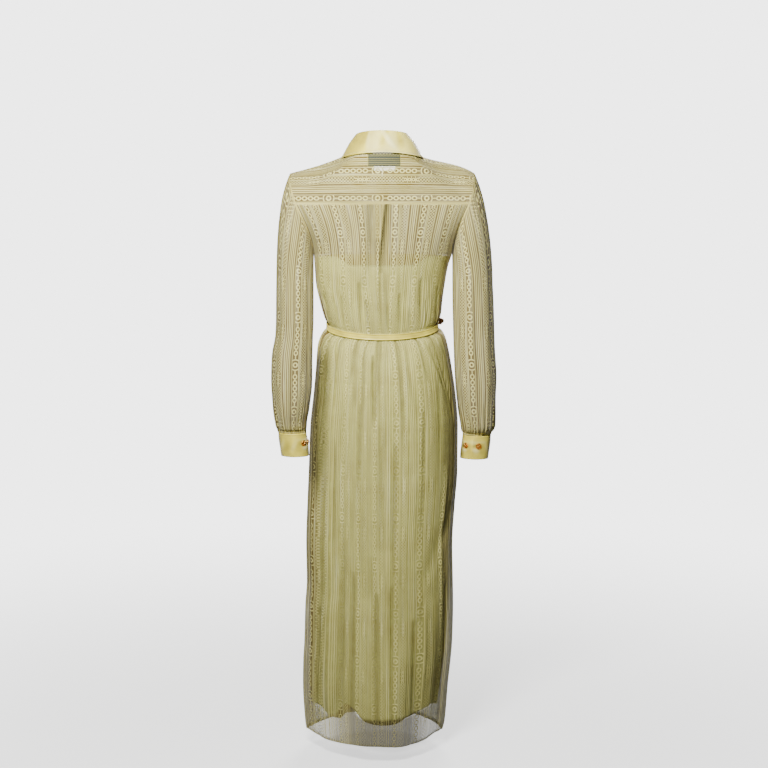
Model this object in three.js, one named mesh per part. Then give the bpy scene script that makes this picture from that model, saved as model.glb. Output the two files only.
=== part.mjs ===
// A lace shirt dress in the hollow form that it has when it is worn, in millimetres, with +Z up.
// The front faces -Y, the wearer's left is +X, and the origin is the middle of the neck opening,
// level with the back neck seam.
import * as THREE from "three";

const { cos, sin, PI, abs, max, min, sqrt, exp } = Math;
const DEG = PI / 180;

// Thicknesses and the clearance that every seam keeps.
const LACE = 1.2;
const LINING = 1.0;
const SATIN = 1.6;
const CUFF_WALL = 2.0;
const BELT_WALL = 2.4;
const SEAM_GAP = 0.4;
const REST_GAP = 0.4;

// Main heights.
const ARMPIT_Z = -256;
const HEM_Z = -1435;
const YOKE_Z = -139;
const BELT_Z = -428;
const BELT_WIDTH = 14;
const CUFF_RADIUS = 33;
const CUFF_LAP = 2.6;
const PLACKET_WIDTH = 30;
const FRONT_BUTTON_PITCH = 90;
const FRONT_BUTTON_COUNT = 13;

// Rings of the body: height, reach to the wearer's left and right, depth behind and in front
// of the middle, and how far the ring drops at the back and rises at the front.
const BODY = {
  columns: ["z", "left", "right", "back", "front", "drop"],
  rows: [
    [-256, 165, 168, 104, 130, 0],
    [-288, 163, 158, 103, 128, 2],
    [-327, 160, 151, 99, 121, 7],
    [-368, 151, 145, 95, 112, 14],
    [-397, 143, 142, 91, 104, 20],
    [-412, 138, 138, 88, 99, 23],
    [-420, 133, 133, 86, 96, 24],
    [-436, 133, 133, 86, 96, 24],
    [-446, 144, 147, 92, 101, 24],
    [-477, 156, 158, 104, 108, 20],
    [-535, 161, 169, 118, 115, 10],
    [-596, 167, 178, 126, 120, 4],
    [-675, 175.5, 184, 130, 124, 0],
    [-784, 180, 183.5, 128, 124, 0],
    [-860, 183.5, 178, 126, 123, 0],
    [-965, 187, 172, 124, 122, 0],
    [-1056, 186, 174, 125, 124, 0],
    [-1116, 190, 175, 127, 127, 0],
    [-1209, 193, 173, 131, 131, 0],
    [-1260, 196, 169, 134, 134, 0],
    [-1316, 197, 163, 137, 137, 0],
    [-1413, 192, 155, 141, 141, 0],
    [-1435, 189, 149, 142, 142, 0],
  ],
};

// Soft folds of the body: where the crest starts and ends (height and angle round the body,
// 0 at the wearer's left, 90 at the back), its half-width in degrees and its height in mm.
const FOLDS = {
  columns: ["top", "bottom", "topAngle", "bottomAngle", "spread", "rise"],
  rows: [
    [-300, -418, 62, 55, 6, 3],
    [-290, -418, 80, 84, 6, 3],
    [-300, -418, 98, 100, 6, 2.5],
    [-310, -418, 118, 121, 6, 3],
    [-320, -418, 38, 32, 6, 2.5],
    [-320, -418, 140, 146, 6, 2.5],
    [-438, -600, 22, 20, 5, 3.5],
    [-438, -640, 40, 36, 5, 3.5],
    [-438, -620, 58, 55, 5, 4],
    [-438, -700, 78, 80, 5, 4],
    [-438, -660, 97, 96, 5, 3.5],
    [-438, -620, 116, 120, 5, 4],
    [-438, -640, 137, 142, 5, 3.5],
    [-438, -600, 158, 160, 5, 3.5],
    [-780, -990, 112, 111, 9, 4],
    [-850, -1090, 163, 113, 8, -4],
    [-900, -1435, 59, 60, 6, -5],
    [-960, -1230, 93, 92, 9, 5],
    [-600, -1330, 27, 26, 6, 4],
    [-640, -1300, 40, 38, 5, -3],
    [-1080, -1560, 46, 44, 8, 5],
    [-1080, -1560, 76, 77, 8, 5],
    [-1180, -1560, 105, 106, 9, 4],
    [-1080, -1560, 134, 133, 8, 6],
    [-1120, -1560, 158, 156, 7, 4],
    [-300, -418, 232, 228, 6, 2.5],
    [-300, -418, 308, 312, 6, 2.5],
    [-438, -640, 204, 202, 5, 3.5],
    [-438, -620, 226, 222, 5, 3.5],
    [-438, -680, 247, 246, 5, 3],
    [-438, -640, 293, 295, 5, 3],
    [-438, -700, 314, 317, 5, 3.5],
    [-438, -620, 336, 338, 5, 3.5],
    [-900, -1560, 212, 208, 8, 5],
    [-1000, -1560, 238, 236, 8, 5],
    [-900, -1560, 300, 303, 8, 5],
    [-1040, -1560, 326, 330, 8, 5],
  ],
};

// The armhole of the wearer's left side, from the armpit up the back, over the shoulder and
// down the front, and the places of the yoke's two corners in it.
const ARMHOLE = [
  [165, 0, -256],
  [167, 17, -236],
  [172, 35, -214],
  [181, 50, -188],
  [192, 60, -163],
  [203, 63, -139],
  [212, 56, -112],
  [218.5, 38, -85],
  [221, 12, -66.5],
  [220.5, -14, -67],
  [217, -40, -84],
  [206, -55, -114],
  [192, -60, -147],
  [179, -52, -180],
  [171, -36, -209],
  [167, -17, -236],
];
const ARMHOLE_BACK_CORNER = 5 / 16;
const ARMHOLE_FRONT_CORNER = 10 / 16;

// Level rings of the sleeves: height, outer and inner reach from the body's middle,
// half-depth, and how far the middle stands behind the body's middle.
const LEFT_SLEEVE = {
  columns: ["z", "outer", "inner", "depth", "middle"],
  rows: [
    [-330, 254.5, 166, 56, 0],
    [-416, 256, 166.5, 55, -3],
    [-450, 258, 168, 54, -5],
    [-506, 268, 170, 55, -8],
    [-570, 271, 171, 56, -12],
    [-633, 266, 179, 51, -17],
    [-668, 260, 186, 43, -20],
    [-682, 257, 187, 40, -21.5],
    [-691.5, 251.2, 190.8, 30.2, -22],
    [-699, 250.5, 190.1, 30.2, -22.3],
  ],
};
const RIGHT_SLEEVE = {
  columns: ["z", "outer", "inner", "depth", "middle"],
  rows: [
    [-330, 265, 169, 56, 0],
    [-368, 267, 169.5, 56, -1],
    [-480, 272, 173, 55, -6],
    [-562, 278, 177, 56, -11],
    [-633, 276, 185, 52, -17],
    [-675, 274, 193, 46, -20],
    [-688, 270, 195, 41, -21.5],
    [-697.5, 261.7, 201.3, 30.2, -22],
    [-705, 261, 200.6, 30.2, -22.3],
  ],
};

// Cuffs: the middle of the top and bottom edges, and the angles of the overlap's end and of
// the two buttons, 0 at the wearer's left and 90 at the back.
const LEFT_CUFF = {
  top: [221, -22, -693],
  bottom: [214.5, -25, -750],
  lapEnd: 152,
  buttons: [134, 176],
  side: 1,
};
const RIGHT_CUFF = {
  top: [-231.5, -22, -699],
  bottom: [-225.5, -25, -756],
  lapEnd: 76,
  buttons: [98, 44],
  side: -1,
};

// Heights of the body's rows from the hem up, and where the upper rows lie from the armpit up.
const LOWER_ROWS = [
  HEM_Z, -1380, -1290, -1190, -1090, -990, -890, -790, -700, -620, -555, -505, -465, -446,
  -436, -420, -408, -380, -340, -298, ARMPIT_Z,
];
const BACK_ROWS = [0.17, 0.34, 0.5, 0.67, 0.84, 0.97, 1];
const FRONT_ROWS = [0.125, 0.25, 0.375, 0.5, 0.625, 0.75, 0.875, 1];

// Slip: how far it lies inside the dress at each height.
const SLIP_INSET = {
  columns: ["z", "inset"],
  rows: [
    [-256, 6],
    [-327, 6],
    [-385, 4.5],
    [-410, 3.2],
    [-420, LACE + 0.7],
    [-436, LACE + 0.7],
    [-446, 7],
    [-477, 8],
    [-596, 7.5],
    [-784, 8],
    [-1056, 12],
    [-1209, 17],
    [-1380, 27],
  ],
};

// The slip's hem: its height by the angle round the body.
const SLIP_HEM = {
  columns: ["angle", "z"],
  rows: [
    [360, -1365],
    [325, -1372],
    [290, -1382],
    [250, -1370],
    [215, -1380],
    [180, -1368],
    [150, -1362],
    [120, -1380],
    [102, -1386],
    [88, -1388],
    [76, -1384],
    [64, -1354],
    [53, -1386],
    [40, -1388],
    [18, -1368],
    [0, -1365],
  ],
};

// Numbers and tables.

const clamp = (x, lo, hi) => max(lo, min(hi, x));
const mix = (a, b, t) => a + (b - a) * t;
const smooth = (lo, hi, x) => {
  const t = clamp((x - lo) / (hi - lo), 0, 1);
  return t * t * (3 - 2 * t);
};
const vec = (x, y, z) => new THREE.Vector3(x, y, z);

// Reads a table at a height, with a curve that doesn't overshoot between its rows.
function readTable(table, z) {
  const rows = table.rows;
  const last = rows.length - 1;
  let k = 0;
  while (k < last - 1 && z < rows[k + 1][0]) k++;
  const t = clamp((z - rows[k][0]) / (rows[k + 1][0] - rows[k][0]), 0, 1);
  const out = {};
  table.columns.forEach((name, c) => {
    const slope = (i) => (rows[i + 1][c] - rows[i][c]) / (rows[i + 1][0] - rows[i][0]);
    const tangent = (i) => {
      if (i === 0) return slope(0);
      if (i === last) return slope(last - 1);
      const before = slope(i - 1);
      const after = slope(i);
      return before * after <= 0 ? 0 : (2 * before * after) / (before + after);
    };
    const span = rows[k + 1][0] - rows[k][0];
    const a = rows[k][c];
    const b = rows[k + 1][c];
    const bend = t * t * (3 - 2 * t);
    const ease = span * (tangent(k) * t * (1 - t) * (1 - t) - tangent(k + 1) * t * t * (1 - t));
    out[name] = mix(a, b, bend) + ease;
  });
  return out;
}

const named = (table) =>
  table.rows.map((row) => Object.fromEntries(table.columns.map((name, c) => [name, row[c]])));

// Finds where a rising or falling function passes zero.
function solve(f, lo, hi) {
  const rising = f(hi) > f(lo);
  for (let k = 0; k < 40; k++) {
    const middle = (lo + hi) / 2;
    if (f(middle) > 0 === rising) hi = middle;
    else lo = middle;
  }
  return (lo + hi) / 2;
}

// Surfaces of the body.

const foldList = named(FOLDS);

function foldHeight(angle, z) {
  let total = 0;
  for (const fold of foldList) {
    if (z > fold.top || z < fold.bottom) continue;
    const t = (fold.top - z) / (fold.top - fold.bottom);
    const crest = mix(fold.topAngle, fold.bottomAngle, t) * DEG;
    const away = (angle - crest) / (fold.spread * DEG);
    total += fold.rise * sin(PI * Math.pow(t, 0.7)) * exp(-away * away);
  }
  return total;
}

// Toward the hem the skirt lies flatter, with its edges at the side seams.
function flatten(s, z) {
  const power = mix(1, s > 0 ? 2 : 1.5, smooth(-950, HEM_Z, z));
  return Math.sign(s) * Math.pow(abs(s), power);
}

// A point of the dress below the armpit, moved outward by `out`.
function bodyPoint(angle, z, out = 0) {
  const ring = readTable(BODY, z);
  const c = cos(angle);
  const s = sin(angle);
  const reach = c >= 0 ? ring.left : ring.right;
  const depth = s >= 0 ? ring.back : ring.front;
  const wave = z <= HEM_Z ? 2.5 * sin(5 * angle + 0.6) : 0;
  const outward = vec(c / reach, s / depth, 0).normalize();
  const point = vec(reach * c, depth * flatten(s, z), z - ring.drop * s + wave);
  return point.addScaledVector(outward, out + foldHeight(angle, z));
}

const armhole = new THREE.CatmullRomCurve3(
  ARMHOLE.map((p) => vec(...p)), true, "catmullrom", 0.5,
);

// A point of the armhole; side is 1 for the wearer's left and -1 for the right.
function armholePoint(t, side) {
  const p = armhole.getPoint(((t % 1) + 1) % 1);
  const reach = side > 0 ? 1 : mix(168 / 165, 1, smooth(ARMPIT_Z, YOKE_Z, p.z));
  return vec(p.x * side * reach, p.y, p.z);
}

// The neck seam, by the angle round the neck.
function neckPoint(beta) {
  const s = sin(beta);
  const drop = s > 0 ? 12 * (1 - s) : 12 + 58 * (1 - sqrt(1 - s * s));
  return vec(70 * cos(beta), -8 + 68 * s, -drop);
}

const NECK_CORNER = -28 * DEG;

// A point of the yoke: u goes round from the left front corner to the right one in three
// stretches (left armhole, back seam, right armhole), v from the outer edge up to the neck.
function yokePoint(u, v) {
  const side = u <= 0.5 ? 1 : -1;
  const w = u <= 0.5 ? u : 1 - u;
  const backAngle = 25 * DEG;
  let outer;
  let beta;
  if (w < 0.12) {
    const t = w / 0.12;
    outer = armholePoint(mix(ARMHOLE_FRONT_CORNER, ARMHOLE_BACK_CORNER, t), side);
    beta = mix(NECK_CORNER, backAngle, t);
  } else {
    const t = (w - 0.12) / 0.38;
    outer = backSeamPoint(side > 0 ? 90 * DEG * t : PI - 90 * DEG * t);
    beta = mix(backAngle, PI / 2, t);
  }
  const inner = neckPoint(beta);
  inner.x *= side;
  const point = outer.lerp(inner, v);
  const bulge = 4 * v * (1 - v);
  const behind = smooth(0, 70 * DEG, beta);
  point.y += 11 * bulge * behind;
  const ridge = side > 0 ? mix(-1, -3, v) : mix(14, -7, v);
  point.z += bulge * mix(ridge, 5, behind);
  return point;
}

// The yoke again, with the folds that run in from its corners eased out. Its edges stay as they are.
function easedYoke(u, v) {
  const reach = 0.09 * 4 * v * (1 - v) * min(1, 8 * min(u, 1 - u));
  const total = vec(0, 0, 0);
  for (let k = -3; k <= 3; k++) {
    total.addScaledVector(yokePoint(u + (reach * k) / 3, v), (4 - abs(k)) / 16);
  }
  return total;
}

// The yoke's back seam by the angle of the back panel's columns.
function backSeamPoint(angle) {
  const end = armholePoint(ARMHOLE_BACK_CORNER, cos(angle) >= 0 ? 1 : -1);
  const s = sin(angle);
  return vec(abs(end.x) * cos(angle), end.y + (101 - end.y) * s * s, YOKE_Z);
}

// Blends from the body at the armpit's height up to a top edge, meeting the armholes.
function upperPoint(angle, v, top, edge, weight) {
  const bottom = bodyPoint(angle, ARMPIT_Z);
  const below = bodyPoint(angle, ARMPIT_Z - 10);
  const lean = bottom.clone().sub(below).multiplyScalar((top.z - ARMPIT_Z) / 10);
  const bend = top.clone().sub(bottom).sub(lean);
  const point = bottom.addScaledVector(lean, v).addScaledVector(bend, v * v);
  return point.addScaledVector(edge, weight);
}

// What the plain blend misses at the armhole, for one row.
function armholeMiss(angle, v, top, t, side) {
  return armholePoint(t, side).sub(upperPoint(angle, v, top, vec(0, 0, 0), 0));
}

function backPoint(angle, v) {
  const side = cos(angle) >= 0 ? 1 : -1;
  const edgeAngle = side > 0 ? 0 : PI;
  const corner = backSeamPoint(edgeAngle);
  const miss = armholeMiss(edgeAngle, v, corner, v * ARMHOLE_BACK_CORNER, side);
  const weight = Math.pow(abs(1 - (2 * angle) / PI), 2.2);
  return upperPoint(angle, v, backSeamPoint(angle), miss, weight);
}

// The top edge of a front panel: the neck from the middle to the yoke, then the yoke's seam.
const NECK_SHARE = 0.5;

function frontTop(u, side) {
  if (u <= NECK_SHARE) {
    const p = neckPoint(mix(-PI / 2, NECK_CORNER, u / NECK_SHARE));
    return vec(p.x * side, p.y, p.z);
  }
  const v = 1 - (u - NECK_SHARE) / (1 - NECK_SHARE);
  return yokePoint(side > 0 ? 0 : 1, v);
}

// A point of a front panel above the armpit: u from the middle to the side, v upward.
function frontPoint(u, v, side) {
  const angle = -PI / 2 + side * (PI / 2) * u;
  const edgeAngle = side > 0 ? 0 : -PI;
  const t = mix(1, ARMHOLE_FRONT_CORNER, v);
  const miss = armholeMiss(edgeAngle, v, frontTop(1, side), t, side);
  const top = frontTop(u, side);
  return upperPoint(angle, v, top, miss, Math.pow(u, 1.8));
}

// Cloth walls.

// A grid of points across a piece of cloth. Columns run so that across x up faces outward.
class Cloth {
  constructor(columns, rows, pointAt, { closed = false, flip = false } = {}) {
    this.columns = columns;
    this.rows = rows;
    this.closed = closed;
    this.flip = flip;
    const count = closed ? columns : columns + 1;
    this.points = [];
    for (let j = 0; j <= rows; j++) {
      const row = [];
      for (let i = 0; i < count; i++) row.push(pointAt(i, j));
      this.points.push(row);
    }
    this.normals = this.points.map((row, j) => row.map((_, i) => this.normalAt(i, j)));
    this.moves = this.points.map((row) => row.map(() => vec(0, 0, 0)));
    this.seamNormals = this.points.map((row) => row.map(() => vec(0, 0, 0)));
  }

  column(i) {
    return this.closed ? (i + this.columns) % this.columns : clamp(i, 0, this.columns);
  }

  normalAt(i, j) {
    const row = this.points[j];
    const across = row[this.column(i + 1)].clone().sub(row[this.column(i - 1)]);
    const above = this.points[min(j + 1, this.rows)][i];
    const below = this.points[max(j - 1, 0)][i];
    const normal = across.cross(above.clone().sub(below)).normalize();
    return this.flip ? normal.negate() : normal;
  }

  // The direction from a point on the edge into the cloth.
  inward(i, j) {
    const middle = vec(0, 0, 0);
    const near = [[i + 1, j], [i - 1, j], [i, j + 1], [i, j - 1]];
    for (const [a, b] of near) {
      if (b < 0 || b > this.rows) continue;
      if (!this.closed && (a < 0 || a > this.columns)) continue;
      middle.add(this.points[b][this.column(a)].clone().sub(this.points[j][i]).normalize());
    }
    return middle;
  }

  // Closes the wall with an inner face, `thickness` inside the outer one.
  geometry(thickness) {
    const count = this.points[0].length;
    const outer = [];
    const inner = [];
    this.points.forEach((row, j) => row.forEach((p, i) => {
      const seam = this.seamNormals[j][i];
      const normal = seam.lengthSq() > 0 ? seam.clone().normalize() : this.normals[j][i];
      const moved = p.clone().add(this.moves[j][i]);
      outer.push(moved);
      inner.push(moved.clone().addScaledVector(normal, -thickness));
    }));
    const faces = [];
    const total = outer.length;
    const all = outer.concat(inner);
    const quad = (a, b, c, d) => {
      const short = all[a].distanceToSquared(all[c]) <= all[b].distanceToSquared(all[d]);
      if (short) faces.push([a, b, c], [a, c, d]);
      else faces.push([a, b, d], [b, c, d]);
    };
    const at = (i, j) => j * count + this.column(i);
    for (let j = 0; j < this.rows; j++) {
      for (let i = 0; i < this.columns; i++) {
        const corners = [at(i, j), at(i + 1, j), at(i + 1, j + 1), at(i, j + 1)];
        quad(...corners);
        const [a, b, c, d] = corners.map((k) => k + total);
        quad(d, c, b, a);
      }
    }
    for (let i = 0; i < this.columns; i++) {
      quad(at(i + 1, 0), at(i, 0), at(i, 0) + total, at(i + 1, 0) + total);
      const j = this.rows;
      quad(at(i, j), at(i + 1, j), at(i + 1, j) + total, at(i, j) + total);
    }
    if (!this.closed) {
      for (let j = 0; j < this.rows; j++) {
        const i = this.columns;
        quad(at(0, j), at(0, j + 1), at(0, j + 1) + total, at(0, j) + total);
        quad(at(i, j + 1), at(i, j), at(i, j) + total, at(i, j + 1) + total);
      }
    }
    return solid(all, faces, this.flip);
  }
}

function solid(points, faces, flip = false) {
  const geometry = new THREE.BufferGeometry();
  const values = points.flatMap((p) => [p.x, p.y, p.z]);
  geometry.setAttribute("position", new THREE.Float32BufferAttribute(values, 3));
  geometry.setIndex(faces.flatMap(([a, b, c]) => (flip ? [a, c, b] : [a, b, c])));
  geometry.computeVertexNormals();
  return geometry;
}

// Draws two cloths back from the seam that they share, and gives them one lean there, so that
// their walls end face to face. The lists hold matching [column, row] pairs.
function stitch(first, firstList, second, secondList) {
  const count = firstList.length;
  for (let k = 0; k < count; k++) {
    const [i, j] = firstList[k];
    const [m, n] = secondList[k];
    const [i0, j0] = firstList[max(k - 1, 0)];
    const [i1, j1] = firstList[min(k + 1, count - 1)];
    const along = first.points[j1][i1].clone().sub(first.points[j0][i0]).normalize();
    const normalA = first.normals[j][i];
    const normalB = second.normals[n][m];
    const intoA = first.inward(i, j);
    const intoB = second.inward(m, n);
    let lean = normalA.clone().add(normalB);
    if (lean.length() < 0.3) lean = intoA.clone().add(intoB);
    lean.normalize();
    const over = along.clone().cross(lean).normalize();
    if (over.dot(intoB.clone().sub(intoA)) < 0) over.negate();
    const valley = normalA.dot(over) > 0 ? smooth(40 * DEG, 90 * DEG, normalA.angleTo(normalB)) : 0;
    first.moves[j][i].addScaledVector(over, -SEAM_GAP / 2);
    second.moves[n][m].addScaledVector(over, SEAM_GAP / 2);
    first.seamNormals[j][i].add(lean.clone().lerp(normalA, valley).normalize());
    second.seamNormals[n][m].add(lean.clone().lerp(normalB, valley).normalize());
  }
}

// A closed stack of rings with a flat or pointed middle at each end, for buttons and the clasp.
function stack(rings, bottom, top) {
  const count = rings[0].length;
  const points = rings.flat().concat([bottom, top]);
  const faces = [];
  rings.slice(1).forEach((_, j) => {
    for (let i = 0; i < count; i++) {
      const a = j * count + i;
      const b = j * count + ((i + 1) % count);
      faces.push([a, b, b + count], [a, b + count, a + count]);
    }
  });
  const last = (rings.length - 1) * count;
  for (let i = 0; i < count; i++) {
    const next = (i + 1) % count;
    faces.push([next, i, rings.length * count]);
    faces.push([last + i, last + next, rings.length * count + 1]);
  }
  return solid(points, faces);
}

// Materials.

const material = (color, roughness, metalness = 0) =>
  new THREE.MeshStandardMaterial({ color, roughness, metalness });
const lace = material(0xc4b98c, 0.75);
const satin = material(0xd6cc96, 0.45);
const lining = material(0xbab285, 0.6);
const gold = material(0x8a6a3c, 0.35, 0.9);
const bronze = material(0x4a3826, 0.4, 0.7);
const darkWeave = material(0x3d352c, 0.8);
const whiteTape = material(0xe8e4da, 0.8);

const dress = new THREE.Group();

function add(name, geometry, look) {
  const mesh = new THREE.Mesh(geometry, look);
  mesh.name = name;
  dress.add(mesh);
  return mesh;
}

// Panels, yoke and sleeves.

const backColumns = 34;
const PLEAT = { top: -141, bottom: -400, rise: 2.2 };

// The back panel's columns, as angles at one height: even ones, and four that follow the
// edges of the pleat in the middle of the back.
function backAngle(i, z) {
  const t = clamp((YOKE_Z - z) / 136, 0, 1);
  const reach = mix(203, 165, t);
  const left = Math.acos(mix(26, 33, t) / reach);
  const right = Math.acos(mix(-5, 9.5, t) / reach);
  const step = 1.4 / reach;
  const stops = [
    [0, 0], [13, left - step], [14, left], [17, right], [18, right + step], [backColumns, PI],
  ];
  let k = 0;
  while (i > stops[k + 1][0]) k++;
  const [i0, a0] = stops[k];
  const [i1, a1] = stops[k + 1];
  return mix(a0, a1, (i - i0) / (i1 - i0));
}

function pleatRise(i, z) {
  if (i < 14 || i > 17 || z > PLEAT.top) return 0;
  return PLEAT.rise * (1 - smooth(-200, PLEAT.bottom, z));
}

const lowerCount = LOWER_ROWS.length - 1;

const backPanel = new Cloth(backColumns, lowerCount + BACK_ROWS.length, (i, j) => {
  if (j <= lowerCount) {
    const z = LOWER_ROWS[j];
    return bodyPoint(backAngle(i, z), z, pleatRise(i, z));
  }
  const v = BACK_ROWS[j - lowerCount - 1];
  const z = mix(ARMPIT_Z, YOKE_Z, v);
  const point = backPoint(backAngle(i, z), v);
  point.y += pleatRise(i, z);
  return point;
});

const frontColumns = 12;

// A front panel; the wearer's left one runs from the middle to the side, the right one back.
function makeFront(side) {
  return new Cloth(frontColumns, lowerCount + FRONT_ROWS.length, (i, j) => {
    const u = side > 0 ? i / frontColumns : 1 - i / frontColumns;
    if (j <= lowerCount) {
      const angle = side > 0 ? 1.5 * PI + (PI / 2) * u : 1.5 * PI - (PI / 2) * u;
      return bodyPoint(angle, LOWER_ROWS[j]);
    }
    return frontPoint(u, FRONT_ROWS[j - lowerCount - 1], side);
  });
}

const leftFront = makeFront(1);
const rightFront = makeFront(-1);

const yokeRows = 6;
const armSteps = 5;
const yokeColumns = backColumns + 2 * armSteps;

const yoke = new Cloth(yokeColumns, yokeRows, (i, j) => {
  const v = j / yokeRows;
  if (i <= armSteps) return easedYoke((0.12 * i) / armSteps, v);
  if (i >= yokeColumns - armSteps) return easedYoke(1 - (0.12 * (yokeColumns - i)) / armSteps, v);
  const angle = backAngle(i - armSteps, YOKE_Z);
  return easedYoke(0.12 + (0.76 * angle) / PI, v);
});

const sleeveColumns = BACK_ROWS.length + armSteps + FRONT_ROWS.length;
const SLEEVE_CAP_ROWS = 7;

// Where each column of a sleeve starts on the armhole, from the armpit up the back.
function sleeveStart(i) {
  if (i === 0) return 0;
  if (i <= BACK_ROWS.length) return BACK_ROWS[i - 1] * ARMHOLE_BACK_CORNER;
  const k = i - BACK_ROWS.length;
  if (k <= armSteps) return mix(ARMHOLE_BACK_CORNER, ARMHOLE_FRONT_CORNER, k / armSteps);
  const m = FRONT_ROWS.length - (k - armSteps);
  return mix(1, ARMHOLE_FRONT_CORNER, m === 0 ? 0 : FRONT_ROWS[m - 1]);
}

function sleeveRing(table, side, z, angle, gather = 0) {
  const ring = readTable(table, z);
  const middle = (ring.outer + ring.inner) / 2;
  const half = (ring.outer - ring.inner) / 2 + gather;
  return vec(
    side * (middle + half * cos(angle)), ring.middle + (ring.depth + gather) * sin(angle), z,
  );
}

function makeSleeve(table, side) {
  const rows = table.rows.map((row) => row[0]);
  const last = rows[rows.length - 1];
  const levels = [rows[0]];
  rows.slice(1).forEach((z, k) => {
    const parts = rows[k] - z > 60 ? 2 : 1;
    for (let p = 1; p <= parts; p++) levels.push(mix(rows[k], z, p / parts));
  });
  const rowCount = SLEEVE_CAP_ROWS + levels.length - 1;
  return new Cloth(sleeveColumns, rowCount, (i, j) => {
    const start = sleeveStart(i);
    // The ring's angle: 180 under the arm, 90 behind, 0 outside, -90 in front.
    const spread = start <= 0.5 ? start / 0.5 : (1 - start) / 0.5;
    const turn = (1 - spread) * PI * (start <= 0.5 ? 1 : -1);
    if (j >= SLEEVE_CAP_ROWS) {
      const z = levels[j - SLEEVE_CAP_ROWS];
      const gather = smooth(last + 75, last + 25, z) * smooth(last + 8, last + 22, z);
      return sleeveRing(table, side, z, turn, 2.4 * gather * cos(i * PI));
    }
    const v = j / SLEEVE_CAP_ROWS;
    const from = armholePoint(start, side);
    const to = sleeveRing(table, side, levels[0], turn);
    const length = from.distanceTo(to);
    const top = smooth(0.35, 1, spread);
    const outward = vec(side * mix(0.04, 0.4, top), 0.4 * sin(turn) * (1 - top) * spread, -0.9);
    const leave = outward.normalize().multiplyScalar(length * 0.9);
    const arrive = vec(side * 0.02, 0, -1).multiplyScalar(length);
    const v2 = v * v;
    const v3 = v2 * v;
    return from.multiplyScalar(2 * v3 - 3 * v2 + 1)
      .addScaledVector(leave, v3 - 2 * v2 + v)
      .addScaledVector(to, 3 * v2 - 2 * v3)
      .addScaledVector(arrive, v3 - v2);
  }, { closed: true, flip: side < 0 });
}

const leftSleeve = makeSleeve(LEFT_SLEEVE, 1);
const rightSleeve = makeSleeve(RIGHT_SLEEVE, -1);

// Seams.

const range = (count, make) => Array.from({ length: count + 1 }, (_, k) => make(k));
const backTop = backPanel.rows;
const frontTopRow = leftFront.rows;

// Side seams.
stitch(backPanel, range(lowerCount, (j) => [0, j]), leftFront,
  range(lowerCount, (j) => [frontColumns, j]));
stitch(backPanel, range(lowerCount, (j) => [backColumns, j]), rightFront,
  range(lowerCount, (j) => [0, j]));
// Back yoke seam.
stitch(backPanel, range(backColumns, (i) => [i, backTop]), yoke,
  range(backColumns, (i) => [armSteps + i, 0]));
// Front yoke seams.
const half = frontColumns / 2;
stitch(leftFront, range(half, (k) => [frontColumns - k, frontTopRow]), yoke,
  range(half, (k) => [0, k]));
stitch(rightFront, range(half, (k) => [k, frontTopRow]), yoke,
  range(half, (k) => [yokeColumns, k]));
// Middle of the front, under the button band.
stitch(leftFront, range(frontTopRow, (j) => [0, j]), rightFront,
  range(frontTopRow, (j) => [frontColumns, j]));
// Armholes.
const backSteps = BACK_ROWS.length;
const frontSteps = FRONT_ROWS.length;
const onFront = backSteps + armSteps;
for (const [sleeve, front, frontEdge, backEdge, yokeEdge] of [
  [leftSleeve, leftFront, frontColumns, 0, (k) => armSteps - k],
  [rightSleeve, rightFront, 0, backColumns, (k) => yokeColumns - armSteps + k],
]) {
  stitch(backPanel, range(backSteps, (k) => [backEdge, lowerCount + k]), sleeve,
    range(backSteps, (k) => [k, 0]));
  stitch(yoke, range(armSteps, (k) => [yokeEdge(k), 0]), sleeve,
    range(armSteps, (k) => [backSteps + k, 0]));
  stitch(front, range(frontSteps, (k) => [frontEdge, frontTopRow - k]), sleeve,
    range(frontSteps, (k) => [(onFront + k) % sleeveColumns, 0]));
}

add("back_yoke", yoke.geometry(LACE), lace);
add("back_panel", backPanel.geometry(LACE), lace);
add("left_front", leftFront.geometry(LACE), lace);
add("right_front", rightFront.geometry(LACE), lace);
add("left_sleeve", leftSleeve.geometry(LACE), lace);
add("right_sleeve", rightSleeve.geometry(LACE), lace);

// Button band and front buttons.

// A point of the front at a distance x from the middle; row 0 is the hem.
function frontLine(x, row, out) {
  const side = x >= 0 ? 1 : -1;
  const at = (u) => {
    if (row <= lowerCount) {
      const z = LOWER_ROWS[Math.floor(row)];
      const next = LOWER_ROWS[min(Math.floor(row) + 1, lowerCount)];
      return bodyPoint(1.5 * PI + side * (PI / 2) * u, mix(z, next, row % 1));
    }
    return frontPoint(u, (row - lowerCount) / FRONT_ROWS.length, side);
  };
  const u = abs(x) < 0.01 ? 0 : solve((t) => abs(at(t).x) - abs(x), 0, 0.4);
  const point = at(u);
  return point.add(vec(0, -out, 0));
}

const bandTop = lowerCount + FRONT_ROWS.length - 0.14;
const bandRows = lowerCount + FRONT_ROWS.length;
const band = new Cloth(2, bandRows, (i, j) => {
  const row = j === bandRows ? bandTop : j;
  return frontLine((i - 1) * (PLACKET_WIDTH / 2), row, LACE + REST_GAP + 0.1);
});
add("front_band", band.geometry(LACE), lace);

function ringOf(radius, height, count = 10) {
  return range(count - 1, (k) => {
    const a = (2 * PI * k) / count;
    return vec(radius * cos(a), radius * sin(a), height);
  });
}

// A domed button that stands on its back, with its face toward +Z.
function button(radius, height) {
  const rings = [
    ringOf(radius * 0.85, 0),
    ringOf(radius, height * 0.4),
    ringOf(radius * 0.65, height * 0.95),
  ];
  return stack(rings, vec(0, 0, 0), vec(0, 0, height));
}

// Turns a piece so that its +Z axis points along `normal`, and moves it to `point`.
function place(geometry, point, normal, up = vec(0, 0, 1)) {
  const z = normal.clone().normalize();
  const x = up.clone().cross(z).normalize();
  const y = z.clone().cross(x);
  const matrix = new THREE.Matrix4().makeBasis(x, y, z).setPosition(point);
  return geometry.applyMatrix4(matrix);
}

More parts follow.
